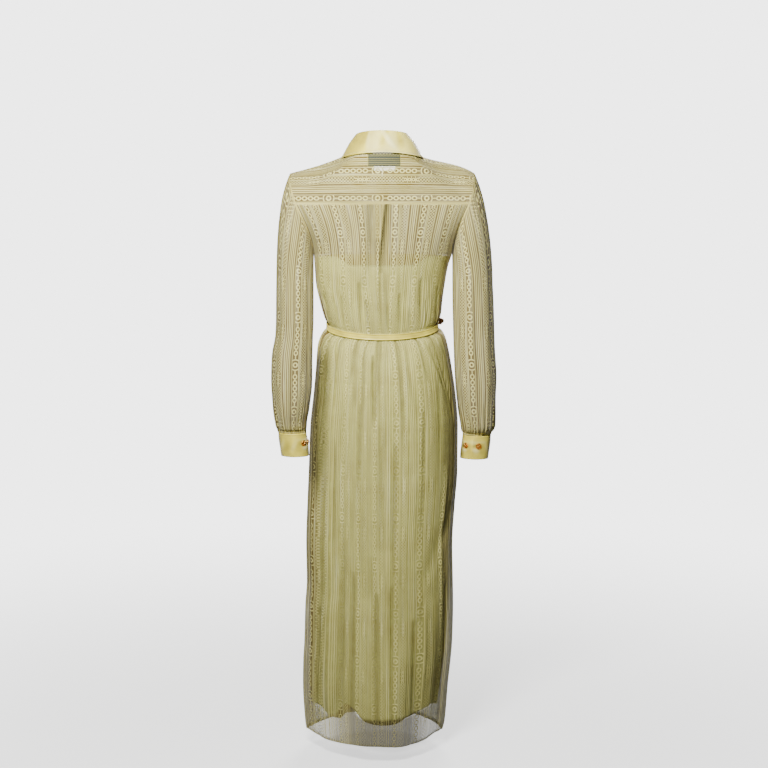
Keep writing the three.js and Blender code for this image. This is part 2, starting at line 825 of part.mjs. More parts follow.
function rowAtHeight(height) {
  return solve((row) => frontLine(0, row, 0).z - height, 0, bandTop);
}

for (let k = 1; k <= FRONT_BUTTON_COUNT; k++) {
  const row = rowAtHeight(-10 - FRONT_BUTTON_PITCH * k);
  const out = LACE + 2 * REST_GAP + (k === 1 ? 0.5 : 0.1);
  const upper = frontLine(0, min(row + 0.2, bandTop), 0);
  const slope = upper.sub(frontLine(0, row, 0));
  const normal = vec(0, -slope.z, slope.y).normalize();
  const point = frontLine(0, row, 0).addScaledVector(normal, out);
  add(`front_button_${k}`, place(button(5.5, 3), point, normal), gold);
}

// Collar and stand.

const collarColumns = 30;
const FRONT_OPENING = 1.2 * DEG;
const collarAngle = (i) => mix(-PI / 2 + FRONT_OPENING, 1.5 * PI - FRONT_OPENING, i / collarColumns);

// The top of the stand, above the neck seam.
function standTop(beta) {
  const seam = neckPoint(beta);
  const s = sin(beta);
  const rise = s > 0 ? mix(35.5, 31.3, s) : mix(35.5, 29, -s);
  return vec(60 * cos(beta), -6 + 56 * s, seam.z + rise);
}

const stand = new Cloth(collarColumns, 2, (i, j) => {
  const beta = collarAngle(i);
  const seam = neckPoint(beta);
  seam.z += REST_GAP + 0.2;
  return seam.lerp(standTop(beta), j / 2);
});
add("collar_stand", stand.geometry(SATIN), satin);

// The fall's lower edge, by the angle round the neck.
const COLLAR_FRONT = new THREE.CatmullRomCurve3(
  [vec(50, -111, -110), vec(81, -92, -78), vec(99, -53, -38), vec(100, -4, -20.8), vec(97, 24, -20)],
);

function collarEdge(beta) {
  const side = cos(beta) >= 0 ? 1 : -1;
  const s = sin(beta);
  if (s >= 0) return vec(100 * cos(beta), -4 + 84 * s, mix(-20.8, -17.5, s));
  const around = -Math.asin(clamp(s, -1, 1)) / (PI / 2);
  const p = COLLAR_FRONT.getPoint(0.75 * (1 - around));
  return vec(side * p.x, p.y, p.z);
}

const ROLL = [[-1, 0.6], [-0.8, 2.2], [0.6, 3.6], [3, 3.9], [5.2, 2]];

const fall = new Cloth(collarColumns, 8, (i, j) => {
  const beta = collarAngle(i);
  const top = standTop(beta);
  const outward = vec(cos(beta) / 60, sin(beta) / 56, 0).normalize();
  const [out, up] = ROLL[min(j, ROLL.length - 1)];
  const roll = top.clone().addScaledVector(outward, out).add(vec(0, 0, up));
  if (j < ROLL.length) return roll;
  const t = (j - ROLL.length + 1) / 4;
  const point = roll.lerp(collarEdge(beta), t);
  return point.addScaledVector(outward, 0.6 * sin(PI * t));
}, { flip: true });
add("collar", fall.geometry(SATIN), satin);

// Cuffs.

const CUFF_COLUMNS = 30;
const LAP_ANGLE = 50;

function cuffPoint(cuff, angle, t, radius) {
  const top = vec(...cuff.top);
  const middle = top.lerp(vec(...cuff.bottom), t);
  return middle.add(vec(radius * cos(angle * DEG), radius * sin(angle * DEG), 0));
}

function makeCuff(cuff) {
  // The band starts under the lap, goes once round and ends on top of its own start.
  const turn = cuff.side;
  const under = cuff.lapEnd - turn * LAP_ANGLE;
  return new Cloth(CUFF_COLUMNS, 2, (i, j) => {
    const travelled = ((360 + LAP_ANGLE) * i) / CUFF_COLUMNS;
    const lift = CUFF_LAP * smooth(300, 355, travelled);
    return cuffPoint(cuff, under + turn * travelled, j / 2, CUFF_RADIUS + lift);
  }, { flip: turn > 0 });
}

for (const [name, cuff] of [["left", LEFT_CUFF], ["right", RIGHT_CUFF]]) {
  add(`${name}_cuff`, makeCuff(cuff).geometry(CUFF_WALL), satin);
  cuff.buttons.forEach((angle, k) => {
    const lift = k === 0 ? CUFF_LAP : 0;
    const point = cuffPoint(cuff, angle, 0.42, CUFF_RADIUS + lift + REST_GAP + 0.3);
    const normal = vec(cos(angle * DEG), sin(angle * DEG), 0);
    add(`${name}_cuff_button_${k + 1}`, place(button(7.5, 5), point, normal), gold);
  });
}

// Belt and clasp.

const beltColumns = 56;

function beltPoint(angle, rise) {
  const front = smooth(0.55, 0.9, -sin(angle)) * (LACE + REST_GAP);
  return bodyPoint(angle, BELT_Z + rise, REST_GAP + BELT_WALL + front);
}

const belt = new Cloth(beltColumns, 1, (i, j) =>
  beltPoint((2 * PI * i) / beltColumns, (j - 0.5) * BELT_WIDTH), { closed: true });
add("belt", belt.geometry(BELT_WALL), satin);

// The clasp is a low four-sided dome with rounded corners.
function claspRing(width, height, z, lift) {
  return range(15, (k) => {
    const a = (2 * PI * (k + 0.5)) / 16;
    const round = (c) => Math.sign(c) * Math.pow(abs(c), 0.55);
    return vec((width / 2) * round(cos(a)), lift + (height / 2) * round(sin(a)), z);
  });
}

const CLASP_ANGLE = 188 * DEG;
const clasp = stack(
  [
    claspRing(22, 9, 0, 0), claspRing(28, 17, 6, 3), claspRing(20, 12, 11, 4),
    claspRing(8, 5, 14.5, 4),
  ],
  vec(0, 0, 0), vec(0, 4, 15),
);
const claspNormal = vec(cos(CLASP_ANGLE) / 133, sin(CLASP_ANGLE) / 96, 0).normalize();
const claspPoint = beltPoint(CLASP_ANGLE, 2).addScaledVector(claspNormal, REST_GAP);
add("belt_clasp", place(clasp, claspPoint, claspNormal), bronze);

// Slip under the skirt and bodice.

const slipColumns = 36;
const slipRows = [
  null, -1320, -1220, -1100, -970, -830, -700, -590, -500, -448, -436, -420, -395, -345,
];

function slipTop(angle) {
  const a = angle / DEG;
  const front = abs(((a - 270 + 540) % 360) - 180);
  const side = min(abs(a - 90), abs(a - 450));
  const behind = mix(-283, -262, smooth(26, 44, side));
  return mix(-258, behind, smooth(40, 72, front));
}

function slipPoint(angle, z, wave = 0) {
  const level = min(z, ARMPIT_Z);
  const ring = readTable(BODY, level);
  const above = max(z - ARMPIT_Z, 0);
  const inset = readTable(SLIP_INSET, z).inset + above * 0.3;
  const c = cos(angle);
  const s = sin(angle);
  const reach = c >= 0 ? ring.left : ring.right;
  const depth = s >= 0 ? ring.back : ring.front;
  const outward = vec(c / reach, s / depth, 0).normalize();
  const point = vec(reach * c, depth * flatten(s, z), z - ring.drop * s);
  return point.addScaledVector(outward, wave - inset);
}

const slip = new Cloth(slipColumns, slipRows.length, (i, j) => {
  const angle = (2 * PI * i) / slipColumns;
  if (j === slipRows.length) return slipPoint(angle, slipTop(angle));
  const z = j === 0 ? readTable(SLIP_HEM, angle / DEG).z : slipRows[j];
  const low = smooth(-1230, -1375, z);
  const wave = 5 * low * sin(8 * angle + 0.7) + 3 * low * sin(5 * angle);
  return slipPoint(angle, z, wave);
}, { closed: true });
add("slip", slip.geometry(LINING), lining);

// Labels inside the back yoke.

// A point on the inside of the yoke at a height and a distance from the middle.
function insideYoke(x, z, depth) {
  const heightAt = (u) => solve((v) => easedYoke(u, v).z - z, 0, 1);
  const u = solve((w) => easedYoke(w, heightAt(w)).x - x, 0.2, 0.8);
  const v = heightAt(u);
  const point = easedYoke(u, v);
  const across = easedYoke(u + 0.005, v).sub(easedYoke(u - 0.005, v));
  const up = easedYoke(u, min(v + 0.01, 1)).sub(easedYoke(u, v - 0.01));
  const outward = across.cross(up).normalize();
  return point.addScaledVector(outward, -depth);
}

function label(left, right, top, bottom, depth, thickness) {
  return new Cloth(6, 3, (i, j) =>
    insideYoke(mix(left, right, i / 6), mix(bottom, top, j / 3), depth)).geometry(thickness);
}

add("neck_label", label(33, -42, -20, -50, LACE + 0.5, 0.8), darkWeave);
add("size_tag", label(20, -31, -50.6, -61, LACE + 0.5, 0.6), whiteTape);

export default dress;
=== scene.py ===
import math

import bmesh
import bpy
import numpy as np
from bpy.props import FloatProperty, FloatVectorProperty, PointerProperty, StringProperty
from mathutils import Matrix, Vector


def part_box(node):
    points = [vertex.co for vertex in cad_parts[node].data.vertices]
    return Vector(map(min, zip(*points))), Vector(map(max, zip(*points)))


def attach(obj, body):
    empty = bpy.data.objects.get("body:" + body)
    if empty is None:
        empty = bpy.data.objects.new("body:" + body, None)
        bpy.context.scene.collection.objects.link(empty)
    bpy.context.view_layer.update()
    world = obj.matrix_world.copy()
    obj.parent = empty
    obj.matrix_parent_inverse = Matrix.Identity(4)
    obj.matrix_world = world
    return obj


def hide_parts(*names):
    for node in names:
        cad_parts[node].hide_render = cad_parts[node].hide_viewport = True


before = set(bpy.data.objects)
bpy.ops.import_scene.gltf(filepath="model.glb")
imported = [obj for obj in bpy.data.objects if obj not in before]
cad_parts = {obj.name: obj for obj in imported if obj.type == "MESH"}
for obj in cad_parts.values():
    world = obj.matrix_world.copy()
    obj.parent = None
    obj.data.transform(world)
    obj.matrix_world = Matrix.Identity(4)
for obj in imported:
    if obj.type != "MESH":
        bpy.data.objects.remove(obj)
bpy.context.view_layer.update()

bl_info = {
    "name": "Lace shirt dress",
    "version": (1, 0, 0),
    "blender": (4, 5, 0),
    "location": "3D View > Sidebar > Shirt dress",
    "description": "Sews a striped lace shirt dress with satin trims over a plain slip",
    "category": "Object",
}

MM = 0.001
DEG = math.pi / 180

# Heights of the dress in millimetres; the origin is the back neck seam.
ARMPIT_Z = -256
HEM_Z = -1435
YOKE_Z = -139
BELT_Z = -428
FLOOR_Z = -1.475

# Rings of the body: height, reach to the wearer's left and right, depth behind and in front
# of the middle, and how far the ring drops at the back.
BODY = [
    (-256, 165, 168, 104, 130, 0),
    (-288, 163, 158, 103, 128, 2),
    (-327, 160, 151, 99, 121, 7),
    (-368, 151, 145, 95, 112, 14),
    (-397, 143, 142, 91, 104, 20),
    (-412, 138, 138, 88, 99, 23),
    (-420, 133, 133, 86, 96, 24),
    (-436, 133, 133, 86, 96, 24),
    (-446, 144, 147, 92, 101, 24),
    (-477, 156, 158, 104, 108, 20),
    (-535, 161, 169, 118, 115, 10),
    (-596, 167, 178, 126, 120, 4),
    (-675, 175.5, 184, 130, 124, 0),
    (-784, 180, 183.5, 128, 124, 0),
    (-860, 183.5, 178, 126, 123, 0),
    (-965, 187, 172, 124, 122, 0),
    (-1056, 186, 174, 125, 124, 0),
    (-1116, 190, 175, 127, 127, 0),
    (-1209, 193, 173, 131, 131, 0),
    (-1260, 196, 169, 134, 134, 0),
    (-1316, 197, 163, 137, 137, 0),
    (-1413, 192, 155, 141, 141, 0),
    (-1435, 189, 149, 142, 142, 0),
]

# Long soft folds: height and angle of the crest's two ends, half-width in degrees, rise in mm.
FOLDS = [
    (-300, -418, 62, 55, 6, 3),
    (-290, -418, 80, 84, 6, 3),
    (-300, -418, 98, 100, 6, 2.5),
    (-310, -418, 118, 121, 6, 3),
    (-320, -418, 38, 32, 6, 2.5),
    (-320, -418, 140, 146, 6, 2.5),
    (-438, -600, 22, 20, 5, 3.5),
    (-438, -640, 40, 36, 5, 3.5),
    (-438, -620, 58, 55, 5, 4),
    (-438, -700, 78, 80, 5, 4),
    (-438, -660, 97, 96, 5, 3.5),
    (-438, -620, 116, 120, 5, 4),
    (-438, -640, 137, 142, 5, 3.5),
    (-438, -600, 158, 160, 5, 3.5),
    (-780, -990, 112, 111, 9, 4),
    (-850, -1090, 163, 113, 8, -4),
    (-900, -1435, 59, 60, 6, -5),
    (-960, -1230, 93, 92, 9, 5),
    (-600, -1330, 27, 26, 6, 4),
    (-640, -1300, 40, 38, 5, -3),
    (-1080, -1560, 46, 44, 8, 5),
    (-1080, -1560, 76, 77, 8, 5),
    (-1180, -1560, 105, 106, 9, 4),
    (-1080, -1560, 134, 133, 8, 6),
    (-1120, -1560, 158, 156, 7, 4),
    (-300, -418, 232, 228, 6, 2.5),
    (-300, -418, 308, 312, 6, 2.5),
    (-438, -640, 204, 202, 5, 3.5),
    (-438, -620, 226, 222, 5, 3.5),
    (-438, -680, 247, 246, 5, 3),
    (-438, -640, 293, 295, 5, 3),
    (-438, -700, 314, 317, 5, 3.5),
    (-438, -620, 336, 338, 5, 3.5),
    (-900, -1560, 212, 208, 8, 5),
    (-1000, -1560, 238, 236, 8, 5),
    (-900, -1560, 300, 303, 8, 5),
    (-1040, -1560, 326, 330, 8, 5),
]

# Narrow creases that the belt gathers above and below itself, and where the cloth pulls:
# the same six numbers.
CREASES = [
    (-345, -420, 51, 49, 1.5, -1.6),
    (-318, -420, 70, 69, 1.7, -2.2),
    (-352, -420, 75, 77, 1.2, -1.4),
    (-296, -420, 89, 92, 1.5, 1.8),
    (-362, -420, 95, 96, 1.1, -1.5),
    (-340, -420, 106, 108, 1.4, -1.7),
    (-310, -420, 127, 131, 1.8, -2.3),
    (-355, -420, 135, 139, 1.3, -1.6),
    (-330, -420, 152, 158, 2.0, -2.0),
    (-345, -420, 26, 22, 2.0, -1.8),
    (-365, -420, 44, 41, 1.2, -1.3),
    (-350, -420, 82, 84, 1.0, 1.2),
    (-360, -420, 113, 115, 1.2, 1.4),
    (-436, -512, 30, 28, 1.5, -1.9),
    (-436, -560, 47, 44, 1.5, -2.0),
    (-436, -498, 53, 51, 1.2, 1.5),
    (-436, -545, 65, 63, 1.4, -1.9),
    (-436, -505, 71, 70, 1.0, 1.3),
    (-436, -575, 86, 87, 1.5, -2.4),
    (-436, -520, 83, 83, 1.0, 1.6),
    (-436, -640, 92, 90.5, 1.5, 2.6),
    (-436, -540, 103, 104, 1.2, -1.6),
    (-436, -508, 108, 110, 1.1, 1.4),
    (-436, -570, 126, 131, 1.6, -2.2),
    (-436, -515, 131, 134, 1.2, 1.5),
    (-436, -600, 144, 154, 1.8, -2.2),
    (-436, -530, 150, 156, 1.4, 1.8),
    (-436, -545, 166, 170, 2.0, -2.0),
    (-436, -520, 14, 12, 1.8, -1.9),
    (-470, -680, 79.5, 81, 1.2, 2.9),
    (-470, -690, 82.5, 84, 1.3, -3.4),
    (-455, -640, 136, 156, 1.6, -2.8),
    (-470, -600, 132, 147, 1.3, 2.0),
    (-500, -690, 148, 163, 1.8, -2.6),
    (-520, -720, 34, 31, 2.2, -1.6),
    (-560, -960, 61, 63, 2.0, 1.4),
    (-600, -900, 72, 71, 2.0, -1.3),
    (-640, -1010, 84, 82, 2.2, 1.4),
    (-520, -760, 109, 113, 2.4, 1.5),
    (-620, -980, 124, 121, 2.3, -1.6),
    (-540, -820, 141, 137, 2.2, -1.7),
    (-700, -1120, 50, 52, 1.8, -1.9),
    (-700, -1150, 100, 98, 2.3, -1.3),
    (-760, -1300, 147, 143, 2.4, 1.9),
    (-640, -1330, 20, 18, 2.2, -2.4),
    (-660, -1360, 33, 32, 1.6, 1.8),
    (-1010, -1500, 68, 69, 2.4, -2.3),
    (-1060, -1500, 86, 86, 2.2, -2.0),
    (-1040, -1500, 97, 98, 2.0, -1.8),
    (-1130, -1500, 116, 117, 2.4, -2.6),
    (-1090, -1500, 126, 125, 1.8, 1.7),
    (-1050, -1500, 152, 150, 2.4, -2.6),
    (-1110, -1500, 36, 35, 2.0, -2.2),
    (-345, -420, 216, 213, 1.8, -2.0),
    (-325, -420, 240, 238, 1.6, -2.1),
    (-350, -420, 250, 251, 1.3, 1.5),
    (-330, -420, 290, 291, 1.6, -1.9),
    (-345, -420, 302, 304, 1.5, 1.6),
    (-325, -420, 322, 327, 1.8, -2.1),
    (-350, -420, 343, 348, 1.9, -1.8),
    (-436, -560, 196, 194, 1.9, -2.0),
    (-436, -520, 214, 211, 1.5, 1.6),
    (-436, -590, 235, 232, 1.7, -2.1),
    (-436, -540, 254, 252, 1.5, -1.8),
    (-436, -560, 287, 289, 1.6, -2.0),
    (-436, -520, 303, 305, 1.4, 1.5),
    (-436, -600, 325, 329, 1.8, -2.2),
    (-436, -540, 347, 350, 1.9, -2.0),
    (-560, -1000, 222, 225, 2.2, -1.7),
    (-600, -1100, 244, 243, 2.2, 1.5),
    (-580, -1050, 296, 297, 2.2, -1.6),
    (-640, -1200, 316, 313, 2.3, 1.8),
    (-700, -1300, 334, 332, 2.4, -2.0),
    (-760, -1340, 206, 208, 2.4, -2.1),
    (-1040, -1500, 226, 224, 2.3, -2.2),
    (-1080, -1500, 252, 252, 2.1, 1.7),
    (-1060, -1500, 290, 290, 2.1, -1.9),
    (-1120, -1500, 312, 314, 2.4, -2.4),
]

CREASE_GAIN = 2.1  # how much deeper the narrow creases are made than their table says

# The armhole of the wearer's left side, up the back, over the shoulder and down the front.
ARMHOLE = np.array([
    (165, 0, -256), (167, 17, -236), (172, 35, -214), (181, 50, -188), (192, 60, -163),
    (203, 63, -139), (212, 56, -112), (218.5, 38, -85), (221, 12, -66.5), (220.5, -14, -67),
    (217, -40, -84), (206, -55, -114), (192, -60, -147), (179, -52, -180), (171, -36, -209),
    (167, -17, -236),
], float)
ARMHOLE_BACK_CORNER = 5 / 16
ARMHOLE_FRONT_CORNER = 10 / 16

# Level rings of the sleeves: height, outer and inner reach, half-depth, middle.
LEFT_SLEEVE = [
    (-330, 254.5, 166, 56, 0),
    (-416, 256, 166.5, 55, -3),
    (-450, 258, 168, 54, -5),
    (-506, 268, 170, 55, -8),
    (-570, 271, 171, 56, -12),
    (-633, 266, 179, 51, -17),
    (-668, 260, 186, 43, -20),
    (-682, 257, 187, 40, -21.5),
    (-691.5, 251.2, 190.8, 30.2, -22),
    (-699, 250.5, 190.1, 30.2, -22.3),
]
RIGHT_SLEEVE = [
    (-330, 265, 169, 56, 0),
    (-368, 267, 169.5, 56, -1),
    (-480, 272, 173, 55, -6),
    (-562, 278, 177, 56, -11),
    (-633, 276, 185, 52, -17),
    (-675, 274, 193, 46, -20),
    (-688, 270, 195, 41, -21.5),
    (-697.5, 261.7, 201.3, 30.2, -22),
    (-705, 261, 200.6, 30.2, -22.3),
]

CUFF_FULLNESS = 34.2  # the half-width that a sleeve keeps down to the cuff's edge

# Soft creases down the sleeves: top and bottom of the crease, ring angle at both, half-width
# in degrees and rise in mm.
SLEEVE_CREASES = [
    (-120, -420, 60, 72, 9, -2.5),
    (-150, -560, 105, 98, 8, 2.6),
    (-200, -640, 28, 34, 9, -2.8),
    (-330, -670, 84, 80, 7, -2.4),
    (-380, -680, 118, 112, 7, 2.2),
    (-250, -660, 140, 146, 8, -2.4),
    (-420, -690, 55, 58, 6, 2.0),
    (-300, -640, -30, -24, 9, 2.4),
    (-240, -670, -70, -76, 9, -2.6),
    (-350, -680, -110, -104, 8, 2.4),
    (-300, -660, -150, -144, 8, -2.4),
    (-260, -600, 4, 2, 7, 2.0),
    (-480, -690, 12, 16, 5, -2.2),
    (-520, -690, 98, 96, 5, -2.0),
    (-540, -690, 132, 128, 5, 1.8),
    (-500, -690, -50, -48, 6, -2.0),
]

# The cuffs: middles of the edges, ring angles of the lap's edge and of the buttons, and which way
# the band goes round.
LEFT_CUFF = {
    "top": (221, -22, -693), "bottom": (214.5, -25, -750), "lap": 152, "side": 1, "buttons": (134, 176),
}
RIGHT_CUFF = {
    "top": (-231.5, -22, -699), "bottom": (-225.5, -25, -756), "lap": 76, "side": -1, "buttons": (98, 44),
}
CUFF_RADIUS = 33
CUFF_LAP = 2.6
LAP_ANGLE = 50
BUTTON_SHARE = 0.42  # how far down the cuff its buttons sit
DIMPLE_SPAN = 51  # the length up the cuff that scales the dimples at the buttons

# The neck seam: half-width, middle and half-depth, and its drop at the sides and further in front.
NECK_REACH = 70
NECK_MIDDLE = -8
NECK_DEPTH = 68
NECK_SIDE_DROP = 12
NECK_FRONT_DROP = 58
NECK_CORNER = -28 * DEG  # where the yoke's front seam meets the neck
NECK_TURN = 25 * DEG  # where the yoke's armhole ends, seen from the neck
YOKE_CORNER = 0.12  # share of the yoke's outer edge that lies on one armhole

# The collar's roll: half-width, middle and half-depth, and the edge of its front points.
ROLL_REACH = 60
ROLL_MIDDLE = -6
ROLL_DEPTH = 56
COLLAR_FRONT = np.array([
    (50, -111, -110), (81, -92, -78), (99, -53, -38), (100, -4, -20.8), (97, 24, -20),
], float)
# How far out and up the cloth lies as it rolls over the stand.
COLLAR_ROLL = [
    (-1, 0.6), (-0.95, 1.5), (-0.8, 2.2), (-0.2, 3.1), (0.6, 3.6), (1.8, 3.95), (3, 3.9),
    (4.3, 3.2), (5.2, 2),
]
# Creases that fan down the collar: rise, angle at the roll, how far it leans by the edge, width.
COLLAR_CREASES = [(1.3, -3, 26, 5), (-0.9, 9, -12, 6), (0.9, -30, 8, 4), (-0.8, 38, -10, 7)]
COLLAR_DROOP = 8.5

# The belt's section, and the clasp's rings: width, depth, height and lift.
BELT_PROFILE = [
    (-7, -1.0), (-7.1, 0.0), (-6.4, 0.5), (-5.4, 0.35), (-4.8, -0.35), (-2.5, -0.1), (0, 0.0), (2.5, -0.1),
    (4.8, -0.35), (5.4, 0.35), (6.4, 0.5), (7.1, 0.0), (7, -1.0),
]
BELT_RING_Z = -436  # the ring of the body on which the clasp's normal is worked out
CLASP_ANGLE = 188 * DEG
CLASP_RINGS = [
    (20, 8, 0, 0), (22, 10, 0.6, 0), (27, 16, 5, 3), (28, 17, 6, 3), (27, 16.2, 7.2, 3.2),
    (24.5, 14.4, 7.6, 3.4), (22.5, 13, 8.8, 3.6), (19.5, 11.5, 11, 4), (14, 8.5, 13.2, 4),
    (8, 5, 14.4, 4), (3, 2, 14.9, 4),
]
# A button's section, in shares of its radius and height.
BUTTON_PROFILE = [
    (0.0, 0.15), (0.62, 0.15), (0.8, 0.05), (0.92, 0.12), (1.0, 0.3), (0.97, 0.46), (0.88, 0.5), (0.82, 0.4),
    (0.7, 0.36), (0.0, 0.42),
]
FRONT_BUTTONS = 13

# One repeat of the lace across its width, and where its parts lie in it. Along it, the small rings
# repeat, and eight of them make the long repeat.
REPEAT = 64.0
RINGS_AT = 9.0
TRELLIS_AT = 29.5
LINES_AT = 51.0
SMALL_PERIOD = 14.4
LONG_PERIOD = 115.2
LARGE_AT = 93.6
TRELLIS_PERIOD = 7.6
BEAD_PERIOD = 9.6
LINE_PERIOD = 4.7

# Tints that are laid over the cloths' own colours. The seam and slow tints are the cloths' own; the streak,
# hollow, deep and ridge tints are painted shade and painted highlight.
SEAM_TINT = "CFC272"
SLOW_TINT = "BBAF6A"
STREAK_PAINTED_SHADE = "8A8246"
STREAK_PAINTED_HIGHLIGHT = "F0ECB8"
LACE_PAINTED_SHADE = "5C5428"
LACE_DEEP_SHADE = "332A12"
LACE_PAINTED_HIGHLIGHT = "EFE9B4"
SATIN_PAINTED_SHADE = "8F7E2C"
SATIN_PAINTED_HIGHLIGHT = "FFF8B4"

# The lights: name, place, what each is aimed at, size in metres and power.
LIGHTS = [
    ("key", (0.38, 1.42, 0.66), (0, 0, -0.25), 0.5, 89),
    ("fill", (0.1, 3.8, -0.1), (0, 0, -0.5), 0.7, 3),
    ("front", (-0.4, -2.4, 0.9), (0, 0, -0.35), 1.2, 105),
]

# How far the slip lies inside the lace, by height.
SLIP_INSET = [
    (-200, 6), (-327, 6), (-385, 4.5), (-410, 3.2), (-420, 1.9), (-436, 1.9), (-446, 7), (-477, 8),
    (-596, 7.5), (-784, 8), (-1056, 12), (-1209, 17), (-1390, 27),
]
# The height of the slip's hem, by the angle round the body in degrees.
SLIP_HEM = [
    (360, -1365), (325, -1372), (290, -1382), (250, -1370), (215, -1380), (180, -1368),
    (150, -1362), (120, -1380), (102, -1386), (88, -1388), (76, -1384), (64, -1354),
    (53, -1386), (40, -1388), (18, -1368), (0, -1365),
]


def clamp(x, lo, hi):
    return np.minimum(np.maximum(x, lo), hi)


def mix(a, b, t):
    return a + (b - a) * t


def ease(lo, hi, x):
    t = clamp((np.asarray(x, float) - lo) / (hi - lo), 0, 1)
    return t * t * (3 - 2 * t)


def bell(x, width):
    """1 at 0, and falling away on both sides."""
    return np.exp(-(x / width) ** 2)


def point(x, y, z):
    """Three arrays of any matching shapes as one array of points."""
    return np.stack(np.broadcast_arrays(*(np.asarray(v, float) for v in (x, y, z))), axis=-1)


def unit(v):
    return v / np.maximum(np.linalg.norm(v, axis=-1, keepdims=True), 1e-9)


def mirrored(p, side):
    """Points of the wearer's left, turned over to the right where side is negative."""
    side = np.asarray(side)
    return p * point(side, 1 + 0 * side, 1 + 0 * side)


def run(points, axis):
    """The length of cloth from the first row or column to each point."""
    steps = np.linalg.norm(np.diff(points, axis=axis), axis=-1)
    return np.cumsum(np.insert(steps, 0, 0, axis=axis), axis=axis)


def read_table(rows, z):
    """The rows' columns at heights z, on a curve that doesn't overshoot between the rows."""
    rows = np.array(rows, float)
    z = np.asarray(z, float)
    steps = np.diff(rows, axis=0)
    slopes = steps[:, 1:] / steps[:, :1]
    before, after = slopes[:-1], slopes[1:]
    product = before * after
    middle = np.where(product > 0, 2 * product / np.where(product > 0, before + after, 1), 0)
    tangents = np.vstack([slopes[:1], middle, slopes[-1:]])
    k = clamp(np.searchsorted(-rows[:, 0], -z, side="right") - 1, 0, len(rows) - 2)
    span = rows[k + 1, 0] - rows[k, 0]
    t = clamp((z - rows[k, 0]) / span, 0, 1)[..., None]
    bend = t * t * (3 - 2 * t)
    extra = span[..., None] * (tangents[k] * t * (1 - t) ** 2 - tangents[k + 1] * t * t * (1 - t))
    values = mix(rows[k, 1:], rows[k + 1, 1:], bend) + extra
    return [values[..., c] for c in range(values.shape[-1])]


def crease_height(creases, angle, z, bend=0.7):
    """Height of all the creases at angles in degrees and heights z."""
    total = np.zeros(np.broadcast(angle, z).shape)
    for top, bottom, top_angle, bottom_angle, spread, rise in creases:
        t = clamp((top - z) / (top - bottom), 0, 1)
        away = angle - mix(top_angle, bottom_angle, t)
        total = total + rise * np.sin(math.pi * t ** bend) * bell(away, spread)
    return total


def narrow_creases(degrees, z):
    return CREASE_GAIN * crease_height(CREASES, degrees, z, 0.5)


def flatten(s, z):
    """Toward the hem the skirt lies flatter, with its edges at the side seams."""
    power = mix(1, np.where(s > 0, 2, 1.5), ease(-950, HEM_Z, z))
    return np.sign(s) * np.abs(s) ** power


def hem_wave(angle):
    """How far the hem rises and falls round the skirt."""
    return 2.5 * np.sin(5 * angle + 0.6)


def body_ring(angle, z):
    """The body without its folds at an angle and a height, and the way outward there."""
    left, right, back, front, drop = read_table(BODY, z)
    c, s = np.cos(angle), np.sin(angle)
    reach = np.where(c >= 0, left, right)
    depth = np.where(s >= 0, back, front)
    outward = unit(point(c / reach, s / depth, 0 * z))
    return point(reach * c, depth * flatten(s, z), z - drop * s), outward


def fine_folds(angle, degrees, z):
    """The narrow creases and the small uneven gathers that start at the belt."""
    near = ease(9, 34, np.abs(z - BELT_Z))
    below = mix(1.15, 0.4, ease(-470, -760, z)) * (z < BELT_Z)
    above = 0.9 * ease(-262, -390, z) * (z >= BELT_Z)
    ripple = np.sin(58 * angle + 2.6 * np.sin(3 * angle) + 0.9 * np.sin(11 * angle + 1))
    uneven = 0.55 + 0.45 * np.sin(7 * angle + 1.3) * np.sin(4 * angle)
    return narrow_creases(degrees, z) + near * (below + above) * ripple * uneven


def body_point(angle, z, out=0.0, fine=True):
    """A point of the dress below the armpit, at an angle in radians and a height."""
    angle, z = np.broadcast_arrays(np.asarray(angle, float), np.asarray(z, float))
    base, outward = body_ring(angle, z)
    base[..., 2] += hem_wave(angle) * ease(-1405, HEM_Z, z)
    degrees = np.mod(angle / DEG, 360)
    rise = crease_height(FOLDS, degrees, z)
    if fine:
        rise = rise + fine_folds(angle, degrees, z)
    return base + outward * (out + rise)[..., None]


def hermite(p1, m1, p2, m2, w):
    """The curve that leaves p1 along m1 and arrives at p2 along m2."""
    w2, w3 = w * w, w * w * w
    return p1 * (2 * w3 - 3 * w2 + 1) + m1 * (w3 - 2 * w2 + w) + p2 * (3 * w2 - 2 * w3) + m2 * (w3 - w2)


def spline(points, t, closed):
    """A uniform curve through the points of a closed ring, or a chord-aware one of an open line."""
    count = len(points)
    t = np.asarray(t, float)
    if closed:
        place = np.mod(t, 1) * count
        k = np.floor(place).astype(int) % count
        w = (place - np.floor(place))[..., None]
        p0, p1, p2, p3 = (points[(k + i) % count] for i in (-1, 0, 1, 2))
        m1, m2 = (p2 - p0) / 2, (p3 - p1) / 2
    else:
        longer = np.vstack([2 * points[0] - points[1], points, 2 * points[-1] - points[-2]])
        place = clamp(t, 0, 1) * (count - 1)
        k = np.minimum(np.floor(place).astype(int), count - 2)
        w = (place - k)[..., None]
        p0, p1, p2, p3 = (longer[k + i] for i in range(4))
        pairs = ((p0, p1), (p1, p2), (p2, p3))
        d0, d1, d2 = (np.linalg.norm(b - a, axis=-1, keepdims=True) ** 0.5 for a, b in pairs)
        m1 = ((p1 - p0) / d0 - (p2 - p0) / (d0 + d1) + (p2 - p1) / d1) * d1
        m2 = ((p2 - p1) / d1 - (p3 - p1) / (d1 + d2) + (p3 - p2) / d2) * d1
    return hermite(p1, m1, p2, m2, w)


def armhole_point(t, side):
    """A point of the armhole; side is 1 for the wearer's left and -1 for the right."""
    p = spline(ARMHOLE, t, True)
    side = np.asarray(side)
    wider = BODY[0][2] / BODY[0][1]
    reach = np.where(side > 0, 1, mix(wider, 1, ease(ARMPIT_Z, YOKE_Z, p[..., 2])))
    return mirrored(p, side * reach)


